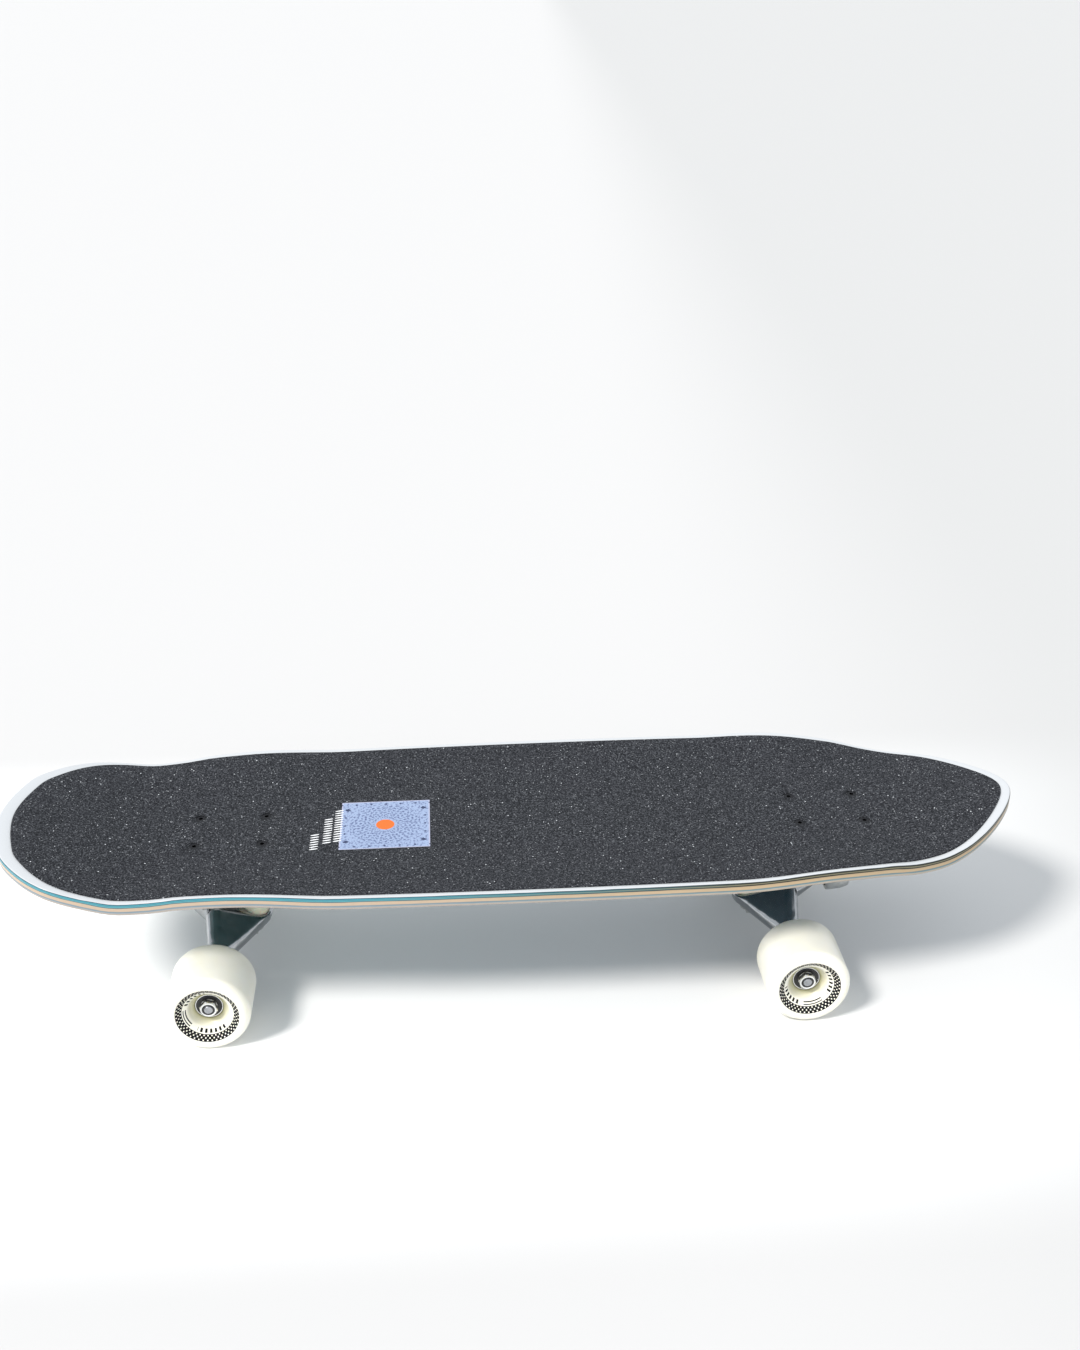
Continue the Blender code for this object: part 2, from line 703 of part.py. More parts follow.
FRONT = Matrix.Translation((FRONT_AXLE * MM, 0.0, WHEEL_RADIUS * MM)) @ Matrix.Rotation(math.pi, 4, "Z")
REAR = Matrix.Translation((REAR_AXLE * MM, 0.0, WHEEL_RADIUS * MM))
REAR_BOLTS = BOLTS_MIDDLE + BOLT_CENTRES - REAR_AXLE
FRONT_BOLTS = FRONT_AXLE - (BOLTS_MIDDLE - BOLT_CENTRES)

for end_name, end_place, end_pivot in (("front", FRONT, FRONT_PIVOT), ("rear", REAR, REAR_PIVOT)):
    moved(make_hanger(f"{end_name}_hanger", end_pivot, CAST), end_place)
    make_kingpin_set(end_name, end_place)
    make_pivot_cup(end_name, end_pivot, end_place)
    make_axle_and_nuts(end_name, end_place)
    make_wheels(end_name, end_place)


# What the trucks hang from.


def make_pad(name, centre, place):
    points = slab_points(centre - 40.0, centre + 40.0, 28.5, FLANGE_TOP + GAP, FLANGE_TOP + GAP + PAD, 6.0)
    pad = hull(name, points, RUBBER)
    moved(combine(pad, "DIFFERENCE", *bolt_cutters(name, centre)), place)


make_pad("front_shock_pad", FRONT_BOLTS, FRONT)
make_pad("rear_shock_pad", REAR_BOLTS, REAR)

rear_base = hull(
    "rear_baseplate",
    slab_points(-12.0, REAR_BOLTS + 38.0, 28.5, FLANGE_TOP - FLANGE, FLANGE_TOP, 6.0),
    CAST,
)
rear_block = hull(
    "block_rear",
    slab_points(-18.0, 60.0, 14.5, 46.0, FLANGE_TOP - 3.0, 4.0)
    + slab_points(-12.0, 60.0, 14.5, FLANGE_TOP - 3.0, FLANGE_TOP - 1.0, 4.0),
    collection=cutters,
)
combine(rear_base, "UNION", rear_block)
add_legs(rear_base, "rear", REAR_PIVOT, 46.0, 58.0)
moved(shaded(combine(rear_base, "DIFFERENCE", *bolt_cutters("rear", REAR_BOLTS))), REAR)

HUB_TOP = FLANGE_TOP - FLANGE - 2.4
HUB_BOTTOM = 46.0
SPRING_BED = 51.5
PIN_RADIUS = 5.0
PIN_HEAD_RADIUS = 8.5
PIN_HEAD = 3.0
NUT_RECESS = 4.4
front_base = hull(
    "front_adapter_base",
    slab_points(FRONT_BOLTS - 40.0, FRONT_BOLTS + 40.0, 28.5, FLANGE_TOP - FLANGE, FLANGE_TOP, 6.0),
    CAST,
)
swivel = Matrix.Translation((SWIVEL * MM, 0.0, 0.0))
thrust_face = rod("thrust_face", 14.0, HUB_TOP + GAP, FLANGE_TOP - 2.0, 24, collection=cutters)
pin_hole_profile = (
    (0.0, 100.0),
    (9.4, 100.0),
    (9.4, FLANGE_TOP - NUT_RECESS),
    (PIN_RADIUS + GAP, FLANGE_TOP - NUT_RECESS),
    (PIN_RADIUS + GAP, 0.0),
    (0.0, 0.0),
)
pin_hole = turned("pin_hole", pin_hole_profile, 20, collection=cutters)
for cutter in (thrust_face, pin_hole):
    moved(cutter, swivel)
combine(front_base, "UNION", thrust_face)
combine(front_base, "DIFFERENCE", pin_hole, *bolt_cutters("front", FRONT_BOLTS))
moved(shaded(front_base), FRONT)

arm = hull("front_swing_arm", slab_points(-14.0, 56.0, 17.0, HUB_BOTTOM + 0.5, 60.0, 6.0), CAST)
hub = rod("hub", 21.5, HUB_BOTTOM, SPRING_BED, 28, collection=cutters, edge=1.0)
neck = rod("neck", 12.0, HUB_BOTTOM + 2.0, HUB_TOP, 24, collection=cutters)
spring_room = rod("spring_room", 17.4, SPRING_BED - 0.5, 80.0, 28, collection=cutters, edge=0.3)
hub_bore_profile = (
    (0.0, 100.0),
    (PIN_RADIUS + GAP, 100.0),
    (PIN_RADIUS + GAP, HUB_BOTTOM + PIN_HEAD + GAP),
    (PIN_HEAD_RADIUS + GAP, HUB_BOTTOM + PIN_HEAD + GAP),
    (PIN_HEAD_RADIUS + GAP, HUB_BOTTOM - 3.0),
    (0.0, HUB_BOTTOM - 3.0),
)
hub_bore = turned("hub_bore", hub_bore_profile, 20, collection=cutters)
for cutter in (hub, neck, spring_room, hub_bore):
    moved(cutter, swivel)
add_legs(arm, "front", FRONT_PIVOT, HUB_BOTTOM + 1.2, 56.0)
combine(arm, "UNION", hub)
combine(arm, "DIFFERENCE", spring_room)
combine(arm, "UNION", neck)
moved(shaded(combine(arm, "DIFFERENCE", hub_bore)), FRONT)

pin_profile = (
    (0.0, FLANGE_TOP - 0.5),
    (PIN_RADIUS, FLANGE_TOP - 0.5),
    (PIN_RADIUS, HUB_BOTTOM + PIN_HEAD),
    (PIN_HEAD_RADIUS, HUB_BOTTOM + PIN_HEAD),
    (PIN_HEAD_RADIUS, HUB_BOTTOM + 0.2),
    (0.0, HUB_BOTTOM + 0.2),
)
moved(turned("front_swivel_pin", pin_profile, 20, STEEL), FRONT @ swivel)
nut_seat = FLANGE_TOP - NUT_RECESS + GAP
swivel_nut = hex_prism("front_swivel_nut", 14.0, nut_seat, nut_seat + 3.4, STEEL, chamfer=0.6)
swivel_bore = rod("swivel_nut_bore", PIN_RADIUS + GAP, 0.0, 100.0, 20, collection=cutters)
moved(combine(swivel_nut, "DIFFERENCE", swivel_bore), FRONT @ swivel)

SPRING_WIRE = 1.6
SPRING_TURNS = 4
SPRING_RADIUS = 14.4
POINTS_PER_TURN = 12
spring_low = SPRING_BED - 0.2 + SPRING_WIRE
spring_high = HUB_TOP - SPRING_WIRE - 0.6
coil = bpy.data.curves.new("front_return_spring", "CURVE")
coil.dimensions = "3D"
coil.bevel_depth = SPRING_WIRE * MM
coil.bevel_resolution = 1
coil.use_fill_caps = True
spline = coil.splines.new("POLY")
spline.points.add(SPRING_TURNS * POINTS_PER_TURN)
for i, point in enumerate(spline.points):
    angle = 2 * math.pi * i / POINTS_PER_TURN
    height = spring_low + (spring_high - spring_low) * i / (SPRING_TURNS * POINTS_PER_TURN)
    point.co = (
        (SWIVEL + SPRING_RADIUS * math.cos(angle)) * MM,
        SPRING_RADIUS * math.sin(angle) * MM,
        height * MM,
        1.0,
    )
spring = bpy.data.objects.new("front_return_spring", coil)
coil.materials.append(SPRING_STEEL)
parts.objects.link(spring)
spring.matrix_world = FRONT

# Each moving group hangs from an empty on its joint's axis.


def hang(name, place, axis, pieces, parent=None):
    """An empty at the place, its Z along the axis, with the pieces parented to it where they are."""
    pivot = bpy.data.objects.new(name, None)
    pivot.empty_display_size = 0.02
    parts.objects.link(pivot)
    turn = Vector((0.0, 0.0, 1.0)).rotation_difference(Vector(axis)).to_matrix().to_4x4()
    world = Matrix.Translation(place) @ turn
    if parent:
        pivot.parent = parent
        pivot.matrix_parent_inverse = parent.matrix_world.inverted()
    pivot.matrix_world = world
    bpy.context.view_layer.update()
    for piece in pieces:
        kept = piece.matrix_world.copy()
        piece.parent = pivot
        piece.matrix_parent_inverse = world.inverted()
        piece.matrix_world = kept
    return pivot


def named(*names):
    return [bpy.data.objects[name] for name in names]


KINGPIN_PIECES = (
    "kingpin",
    "kingpin_nut",
    "boardside_washer",
    "roadside_washer",
    "boardside_bushing",
    "roadside_bushing",
    "pivot_cup",
)
bpy.context.view_layer.update()
swing = hang(
    "front_swivel_axis",
    FRONT @ Vector((SWIVEL * MM, 0.0, HUB_BOTTOM * MM)),
    (0.0, 0.0, 1.0),
    named(
        "front_swing_arm",
        "front_swivel_pin",
        "front_return_spring",
        *(f"front_{piece}" for piece in KINGPIN_PIECES),
    ),
)
for end_name, end_place, end_pivot, above in (
    ("front", FRONT, FRONT_PIVOT, swing),
    ("rear", REAR, REAR_PIVOT, None),
):
    lean = hang(
        f"{end_name}_tilt_axis",
        end_place @ (RING * MM),
        end_place.to_3x3() @ steering_axis(end_pivot),
        named(
            f"{end_name}_hanger",
            f"{end_name}_axle",
            f"{end_name}_left_axle_nut",
            f"{end_name}_right_axle_nut",
        ),
        above,
    )
    for side, side_name in sides_of(end_name):
        hang(
            f"{end_name}_{side_name}_spin_axis",
            end_place @ Vector((0.0, side * WHEEL_MIDDLE * MM, 0.0)),
            (0.0, 1.0, 0.0),
            named(
                f"{end_name}_{side_name}_wheel",
                f"{end_name}_{side_name}_outer_bearing",
                f"{end_name}_{side_name}_inner_bearing",
            ),
            lean,
        )
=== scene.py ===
"""The surf-style skateboard's looks: fine surfaces, materials, soft studio light and the camera."""

import math

import bmesh
import bpy
from mathutils import Matrix, Vector


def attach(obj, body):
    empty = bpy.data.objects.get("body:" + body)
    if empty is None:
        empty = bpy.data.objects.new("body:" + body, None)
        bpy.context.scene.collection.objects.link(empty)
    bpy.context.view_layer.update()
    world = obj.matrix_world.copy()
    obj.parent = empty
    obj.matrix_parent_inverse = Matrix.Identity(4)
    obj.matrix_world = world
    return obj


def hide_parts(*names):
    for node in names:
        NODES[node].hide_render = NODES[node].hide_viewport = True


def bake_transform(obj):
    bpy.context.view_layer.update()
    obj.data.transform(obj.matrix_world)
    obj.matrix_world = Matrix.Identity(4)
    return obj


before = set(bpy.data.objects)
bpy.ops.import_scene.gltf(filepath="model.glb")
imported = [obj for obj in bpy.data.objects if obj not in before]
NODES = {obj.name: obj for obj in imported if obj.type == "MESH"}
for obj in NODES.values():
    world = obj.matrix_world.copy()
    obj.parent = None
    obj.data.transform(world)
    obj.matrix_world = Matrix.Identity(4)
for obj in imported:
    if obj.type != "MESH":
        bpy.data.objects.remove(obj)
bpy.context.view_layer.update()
MM = 0.001

# The board's sizes, in millimetres, as the CAD has them.
GRIP_TOP = 124.0
GRIP_THICKNESS = 0.9
DECK_TOP = GRIP_TOP - GRIP_THICKNESS - 0.3
DECK_THICKNESS = 10.8
BOLTS_MIDDLE = 14.0
BOLT_CENTRES = 245.7
BOLT_PATTERN = (53.98, 41.28)
WHEEL_RADIUS = 33.0
WHEEL_WIDTH = 51.0
WHEEL_MIDDLE = 94.5
PRINT_RING = (20.0, 24.3)
PRINT_CENTRE = (-106.5, 0.0)
PRINT_HALF = (36.5, 35.5)
AXLES = {"front": -244.2, "rear": 224.3}
HALF_LENGTH = 412.5
DECK_OUTLINE = (
    (-HALF_LENGTH, 0.0),
    (-402.2, 52.2),
    (-386.6, 75.2),
    (-365.0, 92.0),
    (-339.5, 100.5),
    (-289.0, 106.5),
    (-188.0, 112.0),
    (-87.0, 115.3),
    (39.0, 116.7),
    (164.0, 115.8),
    (215.0, 113.2),
    (265.0, 105.5),
    (315.0, 92.5),
    (361.5, 70.4),
    (398.3, 33.1),
    (HALF_LENGTH, 0.0),
)
RIM_NOSE, RIM_SIDE, RIM_TAIL = 10.8, 5.3, 7.7
NOSE_BEND, NOSE_SLOPE = 305.0, 0.215
TAIL_BEND, TAIL_SLOPE = 310.0, 0.2
BEND_LENGTH = 60.0
CONCAVE = ((0.0, 8.9), (150.0, 9.0), (232.0, 12.9), (270.0, 11.8), (300.0, 6.9), (330.0, 2.2), (430.0, 1.5))
CONCAVE_REACH = 111.0
CONCAVE_FLAT = 23.0
CONCAVE_POWER = 1.8
SPINE = (-316.0, 318.0)


# The deck's shape, the same as the CAD's and finer.


def smooth(start, end, value):
    t = min(max((value - start) / (end - start), 0.0), 1.0)
    return t * t * (3.0 - 2.0 * t)


def curve_through(points, t):
    """The point at t, from 0 to 1, on a smooth curve through the points, which its mirror image continues."""
    first, last = points[1], points[-2]
    ends = [(first[0], -first[1]), *points, (last[0], -last[1])]
    knots = [0.0]
    for a, b in zip(ends, ends[1:]):
        knots.append(knots[-1] + math.sqrt(math.dist(a, b)))
    at = knots[1] + t * (knots[-2] - knots[1])
    i = 1
    while i < len(ends) - 3 and at > knots[i + 1]:
        i += 1
    span = knots[i + 1] - knots[i]
    s = (at - knots[i]) / span
    result = []
    for axis in (0, 1):
        before, start, end, after = (ends[j][axis] for j in range(i - 1, i + 3))
        leave = (end - before) / (knots[i + 1] - knots[i - 1]) * span
        arrive = (after - start) / (knots[i + 2] - knots[i]) * span
        result.append(
            (2 * s**3 - 3 * s**2 + 1) * start
            + (s**3 - 2 * s**2 + s) * leave
            + (3 * s**2 - 2 * s**3) * end
            + (s**3 - s**2) * arrive
        )
    return result


def interpolate(stations, value):
    """The height at value on a smooth curve through the stations, which never swings past one of them."""
    rates = [(b[1] - a[1]) / (b[0] - a[0]) for a, b in zip(stations, stations[1:])]
    slopes = [0.0]
    for before, after in zip(rates, rates[1:]):
        slopes.append(2 * before * after / (before + after) if before * after > 0 else 0.0)
    slopes.append(0.0)
    i = 0
    while i < len(rates) - 1 and value > stations[i + 1][0]:
        i += 1
    (start, low), (end, high) = stations[i], stations[i + 1]
    span = end - start
    s = min((value - start) / span, 1.0)
    leave, arrive = slopes[i] * span, slopes[i + 1] * span
    return (
        (2 * s**3 - 3 * s**2 + 1) * low
        + (s**3 - 2 * s**2 + s) * leave
        + (3 * s**2 - 2 * s**3) * high
        + (s**3 - s**2) * arrive
    )


def kick(along):
    bend, slope = (NOSE_BEND, NOSE_SLOPE) if along < 0 else (TAIL_BEND, TAIL_SLOPE)
    into = abs(along) - (bend - BEND_LENGTH / 2)
    if into <= 0:
        return 0.0
    if into < BEND_LENGTH:
        return slope * into * into / (2 * BEND_LENGTH)
    return slope * (into - BEND_LENGTH / 2)


def deck_rise(x, y):
    along = x - BOLTS_MIDDLE
    concave = interpolate(CONCAVE, abs(along))
    out = max(abs(y) - CONCAVE_FLAT, 0.0) / (CONCAVE_REACH - CONCAVE_FLAT)
    return kick(along) + concave * out**CONCAVE_POWER


def rim_width(x):
    nose = smooth(326.0, 406.0, -x)
    tail = smooth(334.0, 404.0, x)
    return RIM_SIDE + (RIM_NOSE - RIM_SIDE) * nose + (RIM_TAIL - RIM_SIDE) * tail


def outline(steps):
    """(x, y, outward x, outward y) round half of the deck, from the nose to the tail."""
    found = []
    for step in range(steps + 1):
        turn = 2 * math.pi * step / steps
        t = step / steps - 0.45 * math.sin(turn) / (2 * math.pi)
        x, y = curve_through(DECK_OUTLINE, t)
        before = curve_through(DECK_OUTLINE, max(t - 0.002, 0.0))
        after = curve_through(DECK_OUTLINE, min(t + 0.002, 1.0))
        along = Vector((after[0] - before[0], after[1] - before[1])).normalized()
        if step in (0, steps):
            along = Vector((0.0, 1.0 if step == 0 else -1.0))
            y = 0.0
        found.append((x, y, -along.y, along.x))
    return found


# Helpers that make objects.


def add(name, mesh, materials=()):
    made = bpy.data.objects.new(name, mesh)
    bpy.context.scene.collection.objects.link(made)
    for each in materials:
        mesh.materials.append(each)
    return made


def finished(name, bm, materials=(), angle=35.0):
    bmesh.ops.recalc_face_normals(bm, faces=bm.faces)
    mesh = bpy.data.meshes.new(name)
    bm.to_mesh(mesh)
    bm.free()
    mesh.shade_smooth()
    mesh.set_sharp_from_angle(angle=math.radians(angle))
    return add(name, mesh, materials)


def half_sheet(name, columns, steps, materials, angle=40.0):
    """A closed or open sheet over half of the deck's outline, mirrored.

    Each column gives (x, y, z, depth) at an outline point."""
    bm = bmesh.new()
    layer = bm.verts.layers.float.new("depth")
    grid = []
    for place in outline(steps):
        row = []
        for column in columns:
            x, y, z, depth = column(*place)
            row.append((x, max(y, 0.0), z, depth))
        grid.append(row)
    for side in (1, -1):
        made = []
        for row in grid:
            line = []
            for x, y, z, depth in row:
                vert = bm.verts.new((x * MM, side * y * MM, z * MM))
                vert[layer] = depth
                line.append(vert)
            made.append(line)
        for a, b in zip(made, made[1:]):
            for j in range(len(columns) - 1):
                bm.faces.new((a[j], a[j + 1], b[j + 1], b[j]))
    bmesh.ops.remove_doubles(bm, verts=bm.verts, dist=0.000002)
    bmesh.ops.dissolve_degenerate(bm, edges=bm.edges, dist=0.0000005)
    return finished(name, bm, materials, angle)


def top_column(part, level, depth=0.0):
    """Points on the deck's top or underside, part of the way from the spine to the grip tape's outline."""

    def place(x, y, out_x, out_y):
        rim = rim_width(x)
        grip_x, grip_y = x - out_x * rim, max(y - out_y * rim, 0.0)
        spine = min(max(x, SPINE[0]), SPINE[1])
        at_x, at_y = spine + (grip_x - spine) * part, grip_y * part
        return at_x, at_y, level + deck_rise(at_x, at_y) - depth, depth

    return place


def edge_column(inset, level, depth):
    """A line of points near the deck's edge, set in from it and down from its top."""

    def place(x, y, out_x, out_y):
        at_x, at_y = x - out_x * inset, max(y - out_y * inset, 0.0)
        return at_x, at_y, level + deck_rise(x, y) - depth, depth

    return place


def lathe(name, profile, steps, materials=(), angle=32.0, slots=None):
    """A shape turned about Z from (radius, height) points in millimetres.

    slots gives a material for each span."""
    bm = bmesh.new()
    rings = []
    for radius, height in profile:
        if radius < 1e-6:
            rings.append([bm.verts.new((0.0, 0.0, height * MM))])
            continue
        ring = []
        for i in range(steps):
            turn = 2 * math.pi * i / steps
            ring.append(
                bm.verts.new((radius * MM * math.cos(turn), radius * MM * math.sin(turn), height * MM))
            )
        rings.append(ring)
    for j, (a, b) in enumerate(zip(rings, rings[1:])):
        for i in range(steps):
            k = (i + 1) % steps
            if len(a) == 1 and len(b) == 1:
                continue
            if len(a) == 1:
                corners = (a[0], b[i], b[k])
            elif len(b) == 1:
                corners = (a[i], b[0], a[k])
            else:
                corners = (a[i], b[i], b[k], a[k])
            face = bm.faces.new(corners)
            face.material_index = slots[j] if slots else 0
    return finished(name, bm, materials, angle)


def arc(centre, radius, start, end, steps):
    """Points round part of a circle in the (radius, height) plane, in degrees from the radius axis."""
    found = []
    for i in range(steps + 1):
        turn = math.radians(start + (end - start) * i / steps)
        found.append((centre[0] + radius * math.cos(turn), centre[1] + radius * math.sin(turn)))
    return found


def hexagon(name, flats, bottom, top, materials, chamfer=0.8):
    """A nut's outer shape with its corners turned off."""
    bm = bmesh.new()
    steps = 48
    corner = flats / math.sqrt(3.0)
    rings = []
    for height, limit in (
        (bottom, corner - chamfer),
        (bottom + chamfer * 0.6, corner),
        (top - chamfer * 0.6, corner),
        (top, corner - chamfer),
    ):
        ring = []
        for i in range(steps):
            turn = 2 * math.pi * i / steps
            within = (turn + math.pi / 6) % (math.pi / 3) - math.pi / 6
            radius = min(flats / 2 / math.cos(within), limit)
            ring.append(
                bm.verts.new((radius * MM * math.cos(turn), radius * MM * math.sin(turn), height * MM))
            )
        rings.append(ring)
    for a, b in zip(rings, rings[1:]):
        for i in range(steps):
            k = (i + 1) % steps
            bm.faces.new((a[i], a[k], b[k], b[i]))
    bm.faces.new(rings[0])
    bm.faces.new(rings[-1])
    return finished(name, bm, materials, 25.0)


def facing(place, axis):
    """The matrix that turns +Z to the axis at the place, in millimetres."""
    turn = Vector((0.0, 0.0, 1.0)).rotation_difference(Vector(axis)).to_matrix().to_4x4()
    return Matrix.Translation(Vector(place) * MM) @ turn


# Materials.


class Nodes:
    """A material under construction, with short ways to add its nodes."""

    def __init__(self, name):
        self.material = bpy.data.materials.new(name)
        self.material.use_nodes = True
        self.tree = self.material.node_tree
        self.shader = self.tree.nodes["Principled BSDF"]

    def node(self, kind, **values):
        made = self.tree.nodes.new(kind)
        for key, value in values.items():
            setattr(made, key, value)
        return made

    def link(self, source, target):
        self.tree.links.new(source, target)

    def put(self, target, value):
        if isinstance(value, bpy.types.NodeSocket):
            self.link(value, target)
        else:
            target.default_value = value

    def math(self, operation, *values, clamp=False):
        made = self.node("ShaderNodeMath", operation=operation, use_clamp=clamp)
        for socket, value in zip(made.inputs, values):
            self.put(socket, value)
        return made.outputs[0]

    def ramp(self, factor, stops, interpolation="LINEAR"):
        made = self.node("ShaderNodeValToRGB")
        made.color_ramp.interpolation = interpolation
        elements = made.color_ramp.elements
        while len(elements) > 1:
            elements.remove(elements[-1])
        elements[0].position, elements[0].color = stops[0][0], (*stops[0][1], 1.0)
        for position, colour in stops[1:]:
            element = elements.new(position)
            element.color = (*colour, 1.0)
        self.link(factor, made.inputs[0])
        return made.outputs[0]

    def mix(self, factor, a, b, blend="MIX"):
        made = self.node("ShaderNodeMix", data_type="RGBA", blend_type=blend)
        self.put(made.inputs[0], factor)
        for socket, value in ((made.inputs[6], a), (made.inputs[7], b)):
            self.put(socket, (*value, 1.0) if isinstance(value, tuple) else value)
        return made.outputs[2]

    def coords(self):
        """The object's own coordinates, in metres."""
        return self.node("ShaderNodeTexCoord").outputs["Object"]

    def split(self, vector):
        made = self.node("ShaderNodeSeparateXYZ")
        self.link(vector, made.inputs[0])
        return made.outputs[:3]

    def noise(self, vector, scale, detail=4.0, rough=0.5, distortion=0.0):
        made = self.node("ShaderNodeTexNoise")
        self.link(vector, made.inputs["Vector"])
        made.inputs["Scale"].default_value = scale
        made.inputs["Detail"].default_value = detail
        made.inputs["Roughness"].default_value = rough
        made.inputs["Distortion"].default_value = distortion
        return made.outputs["Fac"]

    def stretched(self, vector, scale):
        made = self.node("ShaderNodeMapping")
        self.link(vector, made.inputs["Vector"])
        made.inputs["Scale"].default_value = scale
        return made.outputs[0]

    def bump(self, height, strength, distance):
        made = self.node("ShaderNodeBump")
        made.inputs["Strength"].default_value = strength
        made.inputs["Distance"].default_value = distance
        self.link(height, made.inputs["Height"])
        self.link(made.outputs[0], self.shader.inputs["Normal"])

    def set(self, **values):
        for key, value in values.items():
            socket = self.shader.inputs[key.replace("_", " ")]
            self.put(socket, (*value, 1.0) if isinstance(value, tuple) else value)


def between(n, value, low, high):
    """1 where the value lies between the two."""
    return n.math("MULTIPLY", n.math("GREATER_THAN", value, low), n.math("LESS_THAN", value, high))


def grip_material():
    """Black grit on a backing: a fine speckle, with a few bright spots painted into its colour as the grit's glints
    (painted highlights).
    """
    n = Nodes("grip_grit")
    at = n.coords()
    fine = n.noise(at, 760.0, 2.0, 0.75)
    wide = n.noise(at, 12.0, 3.0)
    colour = n.ramp(
        fine, ((0.34, (0.004, 0.005, 0.0065)), (0.5, (0.0195, 0.021, 0.0255)), (0.66, (0.098, 0.103, 0.115)))
    )
    colour = n.mix(n.math("MULTIPLY", wide, 0.2), colour, (0.022, 0.024, 0.029))
    # Painted highlights: sparse light grey spots in two sizes stand for the glints of the grit.
    for scale, chance, reach, strength in ((560.0, 0.989, 0.3, 0.95), (900.0, 0.95, 0.4, 0.36)):
        cells = n.node("ShaderNodeTexVoronoi", feature="F1")
        cells.inputs["Scale"].default_value = scale
        n.link(at, cells.inputs["Vector"])
        grain = n.math(
            "MULTIPLY",
            n.math("GREATER_THAN", n.split(cells.outputs["Color"])[0], chance),
            n.math("LESS_THAN", cells.outputs["Distance"], reach),
        )
        colour = n.mix(n.math("MULTIPLY", grain, strength), colour, (0.62, 0.64, 0.67))
    n.set(Base_Color=colour, Roughness=0.95, Specular_IOR_Level=0.2)
    n.bump(fine, 0.45, 0.0004)
    return n.material


# Depth below the deck's top in millimetres, and the colour there: one set at the nose, and a darker, greener set at
# the tail.
NOSE_PLIES = (
    (0.0, (0.62, 0.66, 0.70)),
    (0.3, (0.56, 0.62, 0.66)),
    (0.42, (0.012, 0.05, 0.08)),
    (0.75, (0.012, 0.07, 0.10)),
    (0.95, (0.05, 0.29, 0.37)),
    (1.75, (0.06, 0.31, 0.38)),
    (1.95, (0.02, 0.11, 0.15)),
    (2.2, (0.09, 0.36, 0.42)),
    (2.9, (0.10, 0.36, 0.42)),
    (3.1, (0.012, 0.07, 0.10)),
    (3.4, (0.02, 0.09, 0.12)),
    (3.65, (0.56, 0.43, 0.31)),
    (6.3, (0.58, 0.44, 0.32)),
    (6.6, (0.16, 0.24, 0.30)),
    (7.9, (0.28, 0.34, 0.38)),
    (8.2, (0.46, 0.39, 0.34)),
    (10.8, (0.42, 0.37, 0.33)),
)
TAIL_PLIES = (
    (0.0, (0.62, 0.66, 0.70)),
    (0.3, (0.56, 0.62, 0.66)),
    (0.42, (0.008, 0.010, 0.007)),
    (1.5, (0.014, 0.017, 0.010)),
    (1.75, (0.20, 0.19, 0.11)),
    (2.3, (0.24, 0.22, 0.13)),
    (2.5, (0.008, 0.010, 0.007)),
    (3.4, (0.012, 0.014, 0.009)),
    (3.65, (0.50, 0.37, 0.22)),
    (6.2, (0.56, 0.41, 0.25)),
    (6.6, (0.10, 0.19, 0.22)),
    (7.7, (0.20, 0.30, 0.33)),
    (8.0, (0.48, 0.41, 0.33)),
    (10.8, (0.44, 0.38, 0.32)),
)


def ply_material():
    """The deck: a white painted top, dyed maple plies round the edge and a dark stained underside."""
    n = Nodes("maple_plies")
    at = n.coords()
    x, y, z = n.split(at)
    depth = n.node("ShaderNodeAttribute", attribute_name="depth").outputs["Fac"]
    wobble = n.math(
        "MULTIPLY", n.math("SUBTRACT", n.noise(n.stretched(at, (6.0, 6.0, 60.0)), 4.0, 2.0), 0.5), 0.9
    )
    depth_at = n.math("MULTIPLY", n.math("ADD", depth, wobble), 1.0 / 12.0, clamp=True)
    grain = n.noise(n.stretched(at, (9.0, 70.0, 500.0)), 9.0, 5.0, 0.65)
    streak = n.noise(n.stretched(at, (30.0, 30.0, 900.0)), 5.0, 4.0, 0.6)
    nose = n.ramp(depth_at, [(at_mm / 12.0, colour) for at_mm, colour in NOSE_PLIES])
    tail = n.ramp(depth_at, [(at_mm / 12.0, colour) for at_mm, colour in TAIL_PLIES])
    # The edge's colours blend along the board from the nose's set to the tail's darker, greener set.
    along = n.math("MULTIPLY_ADD", x, 3.4, 0.42, clamp=True)
    plies = n.mix(along, nose, tail)
    plies = n.mix(
        0.35, plies, n.ramp(streak, ((0.3, (0.55, 0.52, 0.48)), (0.7, (1.0, 1.0, 1.0)))), "MULTIPLY"
    )
    white = n.mix(n.math("MULTIPLY", grain, 0.25), (0.56, 0.578, 0.60), (0.44, 0.46, 0.49))
    stain = n.mix(along, (0.010, 0.055, 0.052), (0.008, 0.030, 0.062))
    under = n.mix(
        n.ramp(grain, ((0.35, (0.0, 0.0, 0.0)), (0.75, (1.0, 1.0, 1.0)))), stain, (0.026, 0.095, 0.11)
    )
    is_top = n.math("LESS_THAN", depth, 0.3)
    is_under = n.math("GREATER_THAN", depth, 10.65)
    colour = n.mix(is_top, plies, white)
    colour = n.mix(is_under, colour, under)
    n.set(Base_Color=colour, Roughness=0.38, Specular_IOR_Level=0.45, Coat_Weight=0.25, Coat_Roughness=0.2)
    n.bump(streak, 0.08, 0.0004)
    return n.material


